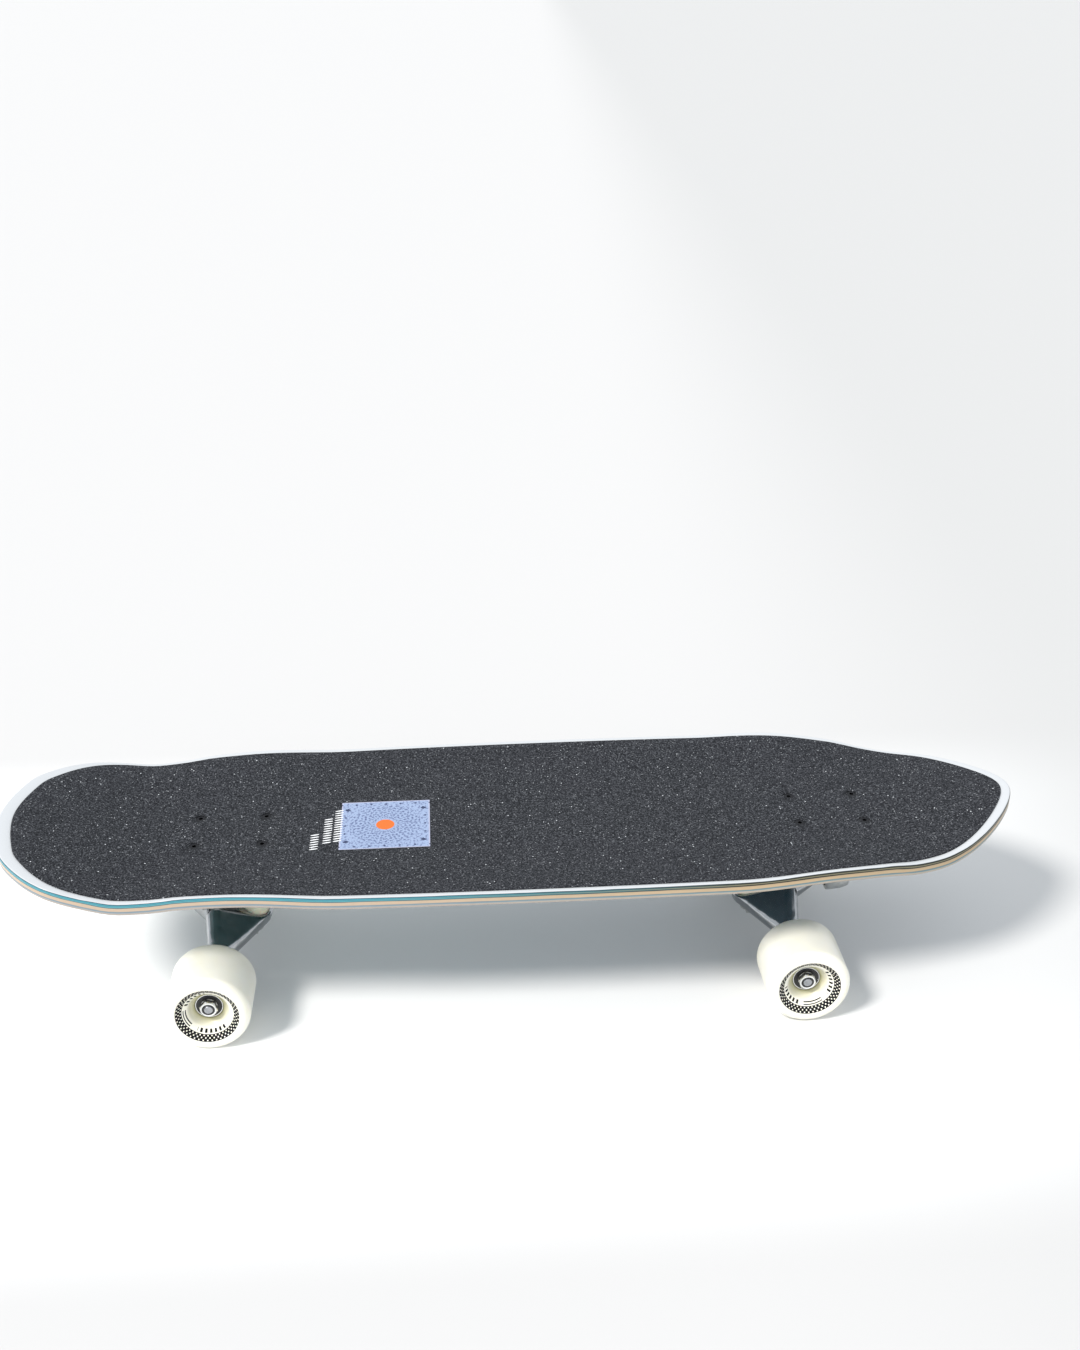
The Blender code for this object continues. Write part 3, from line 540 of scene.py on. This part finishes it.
def print_material():
    """The pale blue print on the grip tape: dotted rings round an orange disc, in a border of small marks."""
    n = Nodes("grip_print")
    x, y, z = n.split(n.coords())
    x, y = n.math("MULTIPLY", x, 1000.0), n.math("MULTIPLY", y, 1000.0)
    radius = n.math("SQRT", n.math("ADD", n.math("MULTIPLY", x, x), n.math("MULTIPLY", y, y)))
    angle = n.math("ARCTAN2", y, x)
    grit = n.noise(n.coords(), 1300.0, 3.0, 0.6)
    blue = n.ramp(grit, ((0.3, (0.24, 0.315, 0.485)), (0.7, (0.335, 0.415, 0.59))))
    petals = n.math("MULTIPLY_ADD", n.math("SINE", n.math("MULTIPLY", angle, 12.0)), 1.4, radius)
    rings = n.math("GREATER_THAN", n.math("SINE", n.math("MULTIPLY", petals, 1.75)), 0.1)
    dots = n.math("GREATER_THAN", n.math("SINE", n.math("MULTIPLY", angle, 36.0)), 0.0)
    rings = n.math("MULTIPLY", n.math("MULTIPLY", rings, dots), between(n, radius, 9.5, 29.0))
    colour = n.mix(n.math("MULTIPLY", rings, 0.62), blue, (0.045, 0.07, 0.17))
    stipple = n.math("GREATER_THAN", n.noise(n.coords(), 520.0, 1.0, 0.5), 0.57)
    colour = n.mix(n.math("MULTIPLY", stipple, 0.62), colour, (0.07, 0.085, 0.2))
    edge = n.math(
        "MAXIMUM",
        n.math("DIVIDE", n.math("ABSOLUTE", x), PRINT_HALF[0]),
        n.math("DIVIDE", n.math("ABSOLUTE", y), PRINT_HALF[1]),
    )
    colour = n.mix(n.math("GREATER_THAN", edge, 0.972), colour, (0.40, 0.42, 0.56))
    for along, across, reach in ((x, y, 31.6), (y, x, 32.6)):
        step = n.math(
            "ABSOLUTE",
            n.math("SUBTRACT", n.math("FRACT", n.math("MULTIPLY_ADD", along, 1 / 12.2, 100.5)), 0.5),
        )
        away = n.math("ABSOLUTE", n.math("SUBTRACT", n.math("ABSOLUTE", across), reach))
        mark = n.math("LESS_THAN", n.math("ADD", n.math("MULTIPLY", step, 12.2), away), 1.35)
        colour = n.mix(n.math("MULTIPLY", mark, 0.9), colour, (0.02, 0.03, 0.1))
    corner = n.math(
        "ADD",
        n.math("ABSOLUTE", n.math("SUBTRACT", n.math("ABSOLUTE", x), 31.0)),
        n.math("ABSOLUTE", n.math("SUBTRACT", n.math("ABSOLUTE", y), 24.0)),
    )
    colour = n.mix(n.math("MULTIPLY", n.math("LESS_THAN", corner, 2.4), 0.92), colour, (0.015, 0.025, 0.08))
    colour = n.mix(n.math("LESS_THAN", radius, 7.5), colour, (0.70, 0.145, 0.02))
    n.set(Base_Color=colour, Roughness=0.8)
    n.bump(grit, 0.3, 0.0003)
    return n.material


def stroke_material():
    n = Nodes("grip_strokes")
    grit = n.noise(n.coords(), 1300.0, 3.0, 0.6)
    n.set(Base_Color=n.ramp(grit, ((0.3, (0.55, 0.56, 0.58)), (0.5, (0.86, 0.87, 0.88)))), Roughness=0.85)
    return n.material


def urethane_material():
    """Ivory urethane. The outer face carries a ring of small checks, two thin arcs and rows of short bars, and
    painted shade in its recess round the bearing.
    """
    n = Nodes("ivory_urethane")
    at = n.coords()
    x, y, z = n.split(at)
    cloud = n.noise(at, 35.0, 3.0)
    ivory = n.ramp(cloud, ((0.3, (0.87, 0.845, 0.73)), (0.7, (0.91, 0.89, 0.80))))
    radius = n.math(
        "MULTIPLY", n.math("SQRT", n.math("ADD", n.math("MULTIPLY", x, x), n.math("MULTIPLY", y, y))), 1000.0
    )
    angle = n.math("ARCTAN2", y, x)
    face = n.math("GREATER_THAN", z, 0.015)
    rows = n.math("MULTIPLY", n.math("SUBTRACT", radius, PRINT_RING[0]), 3 / (PRINT_RING[1] - PRINT_RING[0]))
    cell = n.math("MULTIPLY", angle, 43 / math.pi)
    odd = n.math("FLOORED_MODULO", n.math("ADD", n.math("FLOOR", cell), n.math("FLOOR", rows)), 2.0)
    spot = n.math("GREATER_THAN", odd, 0.5)
    for value in (cell, rows):
        spot = n.math(
            "MULTIPLY",
            spot,
            n.math("LESS_THAN", n.math("ABSOLUTE", n.math("SUBTRACT", n.math("FRACT", value), 0.5)), 0.3),
        )
    ring = n.math(
        "MULTIPLY",
        n.math("SUBTRACT", 1.0, spot),
        between(n, radius, PRINT_RING[0] - 0.15, PRINT_RING[1] + 0.15),
    )

    def arm(centre, half_width):
        away = n.math("COSINE", n.math("SUBTRACT", angle, math.radians(centre)))
        return n.math("GREATER_THAN", away, math.cos(math.radians(half_width)))

    arcs = n.math("MAXIMUM", between(n, radius, 16.8, 17.45), between(n, radius, 18.4, 19.05))
    arcs = n.math("MULTIPLY", arcs, arm(195.0, 24.0))
    bars = n.math(
        "MULTIPLY",
        n.math("LESS_THAN", n.math("SINE", n.math("MULTIPLY", angle, 30.0)), 0.0),
        between(n, radius, 16.6, 19.0),
    )
    bars = n.math("MULTIPLY", bars, n.math("MAXIMUM", arm(277.0, 38.0), arm(125.0, 32.0)))
    ink = n.math("MULTIPLY", n.math("MAXIMUM", n.math("MAXIMUM", ring, arcs), bars), face)
    # Painted shade: inside 16.4 mm on the outer face the ivory darkens to olive towards the bearing, standing for
    # the shade in the wheel's recess.
    recess_shade = n.ramp(
        n.math("MULTIPLY", radius, 0.05),
        ((0.56, (0.34, 0.32, 0.16)), (0.66, (0.62, 0.59, 0.40)), (0.82, (0.90, 0.88, 0.78))),
    )
    colour = n.mix(
        n.math("MULTIPLY", n.math("LESS_THAN", radius, 16.4), n.math("GREATER_THAN", z, 0.006)), ivory, recess_shade
    )
    colour = n.mix(ink, colour, (0.01, 0.01, 0.011))
    bare = n.math("SUBTRACT", 1.0, ink)
    n.set(
        Base_Color=colour, Roughness=0.36, Subsurface_Weight=0.18, Subsurface_Scale=0.006, Coat_Roughness=0.25
    )
    n.set(
        Specular_IOR_Level=n.math("MULTIPLY_ADD", bare, 0.42, 0.08),
        Coat_Weight=n.math("MULTIPLY", bare, 0.15),
    )
    n.shader.inputs["Subsurface Radius"].default_value = (1.0, 0.85, 0.55)
    n.bump(n.noise(at, 420.0, 3.0), 0.05, 0.0002)
    return n.material


def metal_material(name, colour, rough, spread, scale, bump=0.05, streaks=None, wavy=0.0):
    """Bare metal with a slightly uneven polish."""
    n = Nodes(name)
    at = n.coords()
    worn = n.noise(n.stretched(at, streaks) if streaks else at, scale, 5.0, 0.6)
    shade = n.ramp(
        worn, ((0.3, tuple(c * 0.82 for c in colour)), (0.7, tuple(min(c * 1.08, 1.0) for c in colour)))
    )
    roughness = n.math("MULTIPLY_ADD", worn, spread, rough - spread / 2)
    n.set(Base_Color=shade, Metallic=1.0, Roughness=roughness)
    if wavy:
        n.bump(n.noise(at, 70.0, 1.0), wavy, 0.004)
    else:
        n.bump(worn, bump, 0.0003)
    return n.material


def soft_material(name, colour, rough, mottled=0.2, scale=90.0, bump=0.1, **more):
    """Rubber, nylon or another plain moulded stuff."""
    n = Nodes(name)
    at = n.coords()
    patch = n.noise(at, scale, 4.0, 0.6)
    low = tuple(c * (1 - mottled) for c in colour)
    high = tuple(min(c * (1 + mottled), 1.0) for c in colour)
    n.set(Base_Color=n.ramp(patch, ((0.3, low), (0.7, high))), Roughness=rough, **more)
    n.bump(n.noise(at, scale * 8, 3.0), bump, 0.0003)
    return n.material


GRIP = grip_material()
PLY = ply_material()
PRINT = print_material()
STROKES = stroke_material()
URETHANE = urethane_material()
POLISHED = metal_material("polished_aluminium", (0.40, 0.415, 0.43), 0.15, 0.12, 60.0, wavy=0.3)
CAST = metal_material("cast_aluminium", (0.60, 0.61, 0.60), 0.34, 0.2, 180.0, 0.15)
STEEL = metal_material("zinc_steel", (0.66, 0.66, 0.64), 0.22, 0.15, 120.0)
TURNED_STEEL = metal_material("turned_steel", (0.36, 0.37, 0.39), 0.26, 0.12, 300.0, 0.05, (1.0, 1.0, 6.0))
BLACK_STEEL = metal_material("black_steel", (0.03, 0.03, 0.034), 0.42, 0.15, 200.0)
SPRING = metal_material("spring_steel", (0.30, 0.30, 0.31), 0.33, 0.15, 160.0)
RUBBER = soft_material("black_rubber", (0.018, 0.018, 0.02), 0.62)
SHIELD = soft_material("bearing_shield", (0.012, 0.012, 0.014), 0.45)
NYLON = soft_material("nylon_collar", (0.82, 0.83, 0.82), 0.42, 0.08)
BUSHING = soft_material(
    "bushing_urethane",
    (0.76, 0.74, 0.58),
    0.32,
    0.1,
    60.0,
    0.04,
    Subsurface_Weight=0.25,
    Subsurface_Scale=0.004,
)


# The deck and the grip tape.

STEPS = 150
PARTS = (0.0, 0.1, 0.2, 0.34, 0.48, 0.62, 0.75, 0.88, 1.0)
deck_columns = [top_column(part, DECK_TOP) for part in PARTS]
deck_columns += [
    edge_column(inset, DECK_TOP, depth)
    for inset, depth in ((1.5, 0.0), (0.9, 0.08), (0.4, 0.32), (0.1, 0.75), (0.0, 1.3))
]
deck_columns += [edge_column(0.0, DECK_TOP, depth) for depth in (3.4, 6.8)]
deck_columns += [
    edge_column(inset, DECK_TOP, depth)
    for inset, depth in ((0.0, 8.4), (0.22, 9.25), (0.75, 10.05), (1.5, 10.58), (2.5, 10.8))
]
deck_columns += [top_column(part, DECK_TOP, DECK_THICKNESS) for part in reversed(PARTS)]
deck = half_sheet("deck_plies", deck_columns, STEPS, [PLY], 50.0)


def grip_edge(level, depth, inset=0.0):
    def place(x, y, out_x, out_y):
        rim = rim_width(x) + inset
        at_x, at_y = x - out_x * rim, max(y - out_y * rim, 0.0)
        return at_x, at_y, level + deck_rise(at_x, at_y) - depth, depth

    return place


grip_columns = [top_column(part, GRIP_TOP) for part in PARTS[:-1]]
grip_columns += [grip_edge(GRIP_TOP, 0.0, 0.3), grip_edge(GRIP_TOP, 0.15), grip_edge(GRIP_TOP, 1.15)]
grip_columns += [top_column(part, GRIP_TOP, 1.15) for part in reversed(PARTS[:-1])]
grip = half_sheet("grip_sheet", grip_columns, STEPS, [GRIP], 50.0)

HEAD_TOP = GRIP_TOP - 0.5
HOLES = [
    (BOLTS_MIDDLE + end * BOLT_CENTRES + along * BOLT_PATTERN[0], across * BOLT_PATTERN[1])
    for end in (-1, 1)
    for along in (-0.5, 0.5)
    for across in (-0.5, 0.5)
]
HOLE = (
    (0.0, GRIP_TOP + 4.0),
    (4.6, GRIP_TOP + 4.0),
    (4.6, HEAD_TOP - 0.6),
    (2.7, HEAD_TOP - 3.6),
    (2.7, 100.0),
    (0.0, 100.0),
)
cutter_bm = bmesh.new()
cutter_depth = cutter_bm.verts.layers.float.new("depth")
for x, y in HOLES:
    rings = []
    for radius, height in HOLE[1:-1]:
        turns = [2 * math.pi * i / 36 for i in range(36)]
        rings.append(
            [
                cutter_bm.verts.new(
                    ((x + radius * math.cos(a)) * MM, (y + radius * math.sin(a)) * MM, height * MM)
                )
                for a in turns
            ]
        )
    for a, b in zip(rings, rings[1:]):
        for i in range(36):
            cutter_bm.faces.new((a[i], b[i], b[(i + 1) % 36], a[(i + 1) % 36]))
    cutter_bm.faces.new(rings[0])
    cutter_bm.faces.new(rings[-1])
for vert in cutter_bm.verts:
    vert[cutter_depth] = 7.0
cutter = finished("bolt_holes", cutter_bm)
for sheet in (deck, grip):
    cut = sheet.modifiers.new("bolt_holes", "BOOLEAN")
    cut.object = cutter
    cut.operation = "DIFFERENCE"
    cut.solver = "EXACT"
bpy.context.view_layer.update()
graph = bpy.context.evaluated_depsgraph_get()
for sheet in (deck, grip):
    cut_mesh = bpy.data.meshes.new_from_object(sheet.evaluated_get(graph))
    sheet.modifiers.clear()
    sheet.data = cut_mesh
    for vert, depth in zip(cut_mesh.vertices, cut_mesh.attributes["depth"].data):
        x, y, z = vert.co / MM
        if min(math.dist((x, y), hole) for hole in HOLES) < 6.0:
            depth.value = min(max(DECK_TOP + deck_rise(x, y) - z, 0.0), DECK_THICKNESS)
bpy.data.objects.remove(cutter, do_unlink=True)
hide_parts("deck")
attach(deck, "board")
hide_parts("grip_tape")
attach(grip, "board")


def on_grip(name, centre, outline_points, material, lift=0.1):
    """Flat ribbons or patches that lie on the grip tape.

    outline_points holds quads of (x, y) from the centre."""
    bm = bmesh.new()
    for corners in outline_points:
        verts = []
        for dx, dy in corners:
            x, y = centre[0] + dx, centre[1] + dy
            verts.append(bm.verts.new((dx * MM, dy * MM, (deck_rise(x, y) + lift) * MM)))
        bm.faces.new(verts)
    bmesh.ops.remove_doubles(bm, verts=bm.verts, dist=0.00001)
    made = finished(name, bm, [material])
    for face in made.data.polygons:
        if face.normal.z < 0:
            made.data.flip_normals()
            break
    made.location = (centre[0] * MM, centre[1] * MM, GRIP_TOP * MM)
    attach(made, "board")
    return made


cells = []
for i in range(16):
    for j in range(16):
        u0, u1 = (2 * i / 16 - 1) * PRINT_HALF[0], (2 * (i + 1) / 16 - 1) * PRINT_HALF[0]
        v0, v1 = (2 * j / 16 - 1) * PRINT_HALF[1], (2 * (j + 1) / 16 - 1) * PRINT_HALF[1]
        cells.append(((u0, v0), (u1, v0), (u1, v1), (u0, v1)))
on_grip("grip_print_panel", PRINT_CENTRE, cells, PRINT)


def ribbon(points, width):
    """Quads of a stroke through the points, narrower at its two ends."""
    quads = []
    normals = []
    for i in range(len(points)):
        a, b = points[max(i - 1, 0)], points[min(i + 1, len(points) - 1)]
        along = Vector((b[0] - a[0], b[1] - a[1])).normalized()
        normals.append(Vector((-along.y, along.x)))
    for i in range(len(points) - 1):
        corners = []
        for k, side in ((i, -1), (i + 1, -1), (i + 1, 1), (i, 1)):
            taper = 0.55 + 0.45 * math.sin(math.pi * k / (len(points) - 1))
            offset = normals[k] * (side * width * taper / 2)
            corners.append((points[k][0] + offset.x, points[k][1] + offset.y))
        quads.append(corners)
    return quads


# Three rows of even, parallel dashes: a plain pattern, with no shape in it that could be read.
DASH_PITCH, DASH_HALF, DASH_LEAN, DASH_WIDTH = 3.5, 3.3, 0.7, 1.5
DASH_SPOTS = [k / 4 - 1 for k in range(9)]
strokes = []
for line_x, low, high in ((-12.5, -33.0, -6.0), (-2.5, -24.0, 16.0), (5.8, -22.0, 27.0)):
    for index in range(int((high - low) / DASH_PITCH)):
        y = low + DASH_PITCH * index
        strokes += ribbon([(line_x + DASH_HALF * t, y + DASH_LEAN * t) for t in DASH_SPOTS], DASH_WIDTH)
on_grip("grip_brush_strokes", (-150.5, 0.0), strokes, STROKES, 0.14)


# Wheels, bearings and axle nuts.

half = WHEEL_WIDTH / 2
LIP = 6.5
side_profile = [(11.2, 4.9), (11.2, 12.6), (12.2, 12.8), (13.4, 13.4), (14.6, 14.8), (15.4, 16.6)]
side_profile += [
    (16.2, 18.4),
    (17.4, 19.8),
    (18.8, 20.9),
    (19.8, 21.45),
    (21.3, 22.6),
    (22.8, 23.8),
    (24.4, 25.05),
    (24.9, 25.35),
    (25.6, 25.48),
    (WHEEL_RADIUS - LIP, half),
]
side_profile += arc((WHEEL_RADIUS - LIP, half - LIP), LIP, 82.0, 0.0, 10)
wheel_points = [(9.4, -4.9), (9.4, 4.9), *side_profile]
wheel_points += [(radius, -height) for radius, height in reversed(side_profile)] + [(9.4, -4.9)]

bearing_points = [
    (10.9, 0.0),
    (10.9, 6.7),
    (10.7, 7.0),
    (10.1, 7.0),
    (9.95, 6.8),
    (9.9, 6.5),
    (6.2, 6.5),
    (6.1, 6.8),
    (5.9, 7.0),
    (4.5, 7.0),
    (4.3, 6.8),
]
bearing_slots = [0, 0, 0, 0, 0, 1, 0, 0, 0, 0]
washer_points = [(6.6, 0.0), (6.6, 0.35), (4.3, 0.35)]
collar_points = [(6.0, 4.2), (6.0, 4.55), (5.8, 4.9), (5.5, 5.0), (5.2, 4.95), (5.05, 4.6), (5.0, 4.2)]
# Painted shade: a flat black ring between the axle's end and the nylon collar stands for the shade in that gap.
shade_ring_points = [(5.1, 4.5), (3.0, 4.5)]
axle_half = [(0.0, 112.3), (3.1, 112.3), (3.5, 111.9), (3.5, 108.6), (3.97, 108.1)]
axle_points = [*axle_half, *((radius, -along) for radius, along in reversed(axle_half))]

for end, axle_x in AXLES.items():
    axle = lathe(f"{end}_axle_rod", axle_points, 48, [TURNED_STEEL], 30.0)
    axle.matrix_world = facing((axle_x, 0.0, WHEEL_RADIUS), (0.0, 1.0, 0.0))
    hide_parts(f"{end}_axle")
    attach(axle, f"{end}_hanger")
    for side_name, side in (("left", -1), ("right", 1)):
        body = f"{end}_{side_name}_wheel"
        spot = facing((axle_x, side * WHEEL_MIDDLE, WHEEL_RADIUS), (0.0, side, 0.0))
        turn = Matrix.Rotation(math.radians({"front": 0.0, "rear": 90.0}[end]), 4, "Z")
        wheel = lathe(f"{body}_tyre", wheel_points, 112, [URETHANE], 40.0)
        wheel.matrix_world = spot @ turn
        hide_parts(body)
        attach(wheel, body)
        for which, start, flip in (("outer", 5.2, 1), ("inner", -5.2, -1)):
            bearing = lathe(
                f"{end}_{side_name}_{which}_bearing_rings",
                bearing_points,
                64,
                [STEEL, SHIELD],
                30.0,
                bearing_slots,
            )
            bearing.matrix_world = facing(
                (axle_x, side * (WHEEL_MIDDLE + start), WHEEL_RADIUS), (0.0, side * flip, 0.0)
            )
            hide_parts(f"{end}_{side_name}_{which}_bearing")
            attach(bearing, body)
        seat = (axle_x, side * (WHEEL_MIDDLE + 12.6), WHEEL_RADIUS)
        nut = hexagon(f"{end}_{side_name}_lock_nut", 12.7, 0.35, 4.4, [STEEL], 0.9)
        nut.matrix_world = facing(seat, (0.0, side, 0.0)) @ Matrix.Rotation(math.radians(17.0), 4, "Z")
        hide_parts(f"{end}_{side_name}_axle_nut")
        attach(nut, f"{end}_hanger")
        # The third piece is painted shade, a black sheet in the gap round the axle's end.
        for name, points, finish, slot in (
            ("speed_washer", washer_points, STEEL, "zinc_steel"),
            ("nut_collar", collar_points, NYLON, "zinc_steel"),
            ("nut_shade_ring", shade_ring_points, SHIELD, "black_rubber"),
        ):
            piece = lathe(f"{end}_{side_name}_{name}", points, 48, [finish], 30.0)
            piece.matrix_world = facing(seat, (0.0, side, 0.0))
            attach(piece, f"{end}_hanger")


# The bushings squeeze between the board's washers and the hanger's seats, so they bend with the tilt.

KINGPIN_UP = Vector((math.sin(math.radians(-15.0)), 0.0, math.cos(math.radians(-15.0))))
RING_CENTRE = Vector((-25.0, 0.0, 11.5))
TRUCKS = {
    "front": Matrix.Translation(
        (AXLES["front"] * MM, 0.0, WHEEL_RADIUS * MM)
    ) @ Matrix.Rotation(math.pi, 4, "Z"),
    "rear": Matrix.Translation((AXLES["rear"] * MM, 0.0, WHEEL_RADIUS * MM)),
}
BUSHINGS = {
    "boardside": (
        3.3,
        (
            (5.2, 0.0),
            (10.2, 0.0),
            (11.1, 0.35),
            (11.5, 1.2),
            (11.5, 10.4),
            (11.1, 11.4),
            (10.2, 12.0),
            (5.2, 12.0),
            (5.2, 0.0),
        ),
    ),
    "roadside": (
        -11.3,
        (
            (5.2, 0.0),
            (8.4, 0.0),
            (9.2, 0.35),
            (9.6, 1.0),
            (11.2, 6.6),
            (11.4, 7.4),
            (10.9, 8.0),
            (5.2, 8.0),
            (5.2, 0.0),
        ),
    ),
}
for end, place in TRUCKS.items():
    for which, (start, profile) in BUSHINGS.items():
        foot = place @ ((RING_CENTRE + KINGPIN_UP * start) * MM)
        head = place @ ((RING_CENTRE + KINGPIN_UP * (start + profile[-2][1])) * MM)
        bushing = lathe(f"{end}_{which}_cushion", profile, 64, [BUSHING], 40.0)
        bushing.matrix_world = facing(foot / MM, head - foot)
        rings = bushing.modifiers.new("rings", "SUBSURF")
        rings.subdivision_type = "SIMPLE"
        rings.levels = rings.render_levels = 1
        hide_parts(f"{end}_{which}_bushing")
        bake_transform(bushing)


# The CAD nodes that keep their shapes get finer edges and materials.


def dress(node, finish, voxel=0.0, bevel=0.0):
    obj = NODES[node]
    obj.data.materials.clear()
    obj.data.materials.append(finish)
    if voxel:
        remesh = obj.modifiers.new("cast_surface", "REMESH")
        remesh.mode = "VOXEL"
        remesh.voxel_size = voxel * MM
        remesh.use_smooth_shade = True
        relax = obj.modifiers.new("softened", "SMOOTH")
        relax.factor = 0.5
        relax.iterations = 5
    elif bevel:
        weld = obj.modifiers.new("weld", "WELD")
        weld.merge_threshold = 0.00001
        round_off = obj.modifiers.new("edges", "BEVEL")
        round_off.width = bevel * MM
        round_off.segments = 2
        round_off.limit_method = "ANGLE"
        round_off.angle_limit = math.radians(40.0)


for end in AXLES:
    dress(f"{end}_hanger", POLISHED, voxel=0.9)
    dress(f"{end}_kingpin", STEEL)
    dress(f"{end}_kingpin_nut", STEEL)
    dress(f"{end}_boardside_washer", STEEL)
    dress(f"{end}_roadside_washer", STEEL)
    dress(f"{end}_pivot_cup", RUBBER)
    dress(f"{end}_shock_pad", RUBBER)
    for i in range(1, 5):
        dress(f"{end}_bolt_{i}", BLACK_STEEL)
        dress(f"{end}_nut_{i}", STEEL)
dress("rear_baseplate", CAST, voxel=0.9)
dress("front_adapter_base", CAST, bevel=0.5)
dress("front_swing_arm", CAST, voxel=0.9)
dress("front_swivel_pin", STEEL)
dress("front_swivel_nut", STEEL)
dress("front_return_spring", SPRING)


# The studio: a pale floor, a large soft key from the front left, and a broad fill. The floor's colour carries
# painted
# light and shade by place: painted lighter under the board, where its shadow falls, and painted darker behind and in
# front of it, far away and at its right.
FLOOR_HALF = 80.0
FAR_PAINTED_SHADE, RIGHT_PAINTED_SHADE = (0.605, 0.60, 0.60), (0.53, 0.53, 0.53)
FILL_COLOUR, FILL_STRENGTH = (0.915, 0.96, 1.0, 1.0), 0.97
KEY_COLOUR, KEY_STRENGTH, KEY_WIDTH = (1.0, 0.965, 0.92), 2.9, math.radians(13.0)
KEY_DIRECTION = Vector((0.73, 0.5, -1.0))

floor = add("floor", bpy.data.meshes.new("floor"))
floor_bm = bmesh.new()
bmesh.ops.create_grid(floor_bm, x_segments=1, y_segments=1, size=FLOOR_HALF)
floor_bm.to_mesh(floor.data)
floor_bm.free()
paper = Nodes("studio_paper_painted_light")
paper_x, paper_y, _ = paper.split(paper.coords())
away = paper.math(
    "SQRT",
    paper.math("ADD", paper.math("MULTIPLY", paper_x, paper_x), paper.math("MULTIPLY", paper_y, paper_y)),
)
# Painted light: near the board the floor is lighter at the left, which lightens the board's shadow there.
painted_light_left = paper.ramp(
    paper.math("ADD", paper_x, 0.5), ((0.3, (0.95, 0.955, 0.96)), (0.65, (0.86, 0.865, 0.87)))
)
# Painted shade: the floor darkens far away, from 0.6 m to 2 m, and from 0.2 m to 0.36 m behind or in front of the
# board.
painted_falloff = paper.ramp(paper.math("MULTIPLY", away, 0.25), ((0.15, (0.0, 0.0, 0.0)), (0.5, (1.0, 1.0, 1.0))))
ahead_behind_shade = paper.ramp(
    paper.math("ABSOLUTE", paper_y), ((0.2, (0.0, 0.0, 0.0)), (0.36, (1.0, 1.0, 1.0))), "EASE"
)
painted_falloff = paper.mix(paper.math("MAXIMUM", painted_falloff, ahead_behind_shade), painted_light_left, FAR_PAINTED_SHADE)
# Painted shade: the floor darkens to the right of the board.
side = paper.math("MULTIPLY_ADD", paper_y, -0.065, paper_x)
side = paper.ramp(side, ((0.12, (0.0, 0.0, 0.0)), (0.7, (1.0, 1.0, 1.0))), "EASE")
paper.set(Base_Color=paper.mix(side, painted_falloff, RIGHT_PAINTED_SHADE), Roughness=0.8)
floor.data.materials.append(paper.material)

world = bpy.data.worlds.new("studio")
bpy.context.scene.world = world
world.use_nodes = True
background = world.node_tree.nodes["Background"]
background.inputs["Color"].default_value = FILL_COLOUR
background.inputs["Strength"].default_value = FILL_STRENGTH

sun = bpy.data.lights.new("key", "SUN")
sun.energy = KEY_STRENGTH
sun.angle = KEY_WIDTH
sun.color = KEY_COLOUR
key = bpy.data.objects.new("key", sun)
bpy.context.scene.collection.objects.link(key)
key.rotation_mode = "QUATERNION"
key.rotation_quaternion = KEY_DIRECTION.to_track_quat("-Z", "Y")

# The camera, at the photograph's viewing angle.
FOCAL, CENTRE_X, CENTRE_Y = 1485.1, 527.03, 626.7
WIDTH, HEIGHT = 1080, 1350
CAMERA_PLACE = Vector((-57.07, -1042.73, 779.65)) * MM
YAW, PITCH, ROLL = (math.radians(value) for value in (3.71, 24.73, -0.24))
ahead = Vector((math.sin(YAW) * math.cos(PITCH), math.cos(YAW) * math.cos(PITCH), -math.sin(PITCH)))
level = Vector((math.cos(YAW), -math.sin(YAW), 0.0))
raised = level.cross(ahead)
right = level * math.cos(ROLL) + raised * math.sin(ROLL)
up = raised * math.cos(ROLL) - level * math.sin(ROLL)
lens = bpy.data.cameras.new("camera")
camera = bpy.data.objects.new("camera", lens)
bpy.context.scene.collection.objects.link(camera)
lens.sensor_width = 36.0
lens.lens = 36.0 * FOCAL / HEIGHT
lens.shift_x = (WIDTH / 2 - CENTRE_X) / HEIGHT
lens.shift_y = (CENTRE_Y - HEIGHT / 2) / HEIGHT
lens.clip_start, lens.clip_end = 0.05, 50.0
camera.matrix_world = Matrix(
    (
        (right.x, up.x, -ahead.x, CAMERA_PLACE.x),
        (right.y, up.y, -ahead.y, CAMERA_PLACE.y),
        (right.z, up.z, -ahead.z, CAMERA_PLACE.z),
        (0.0, 0.0, 0.0, 1.0),
    )
)
bpy.context.scene.camera = camera
bpy.context.scene.view_settings.view_transform = "Standard"
bpy.context.scene.view_settings.look = "None"
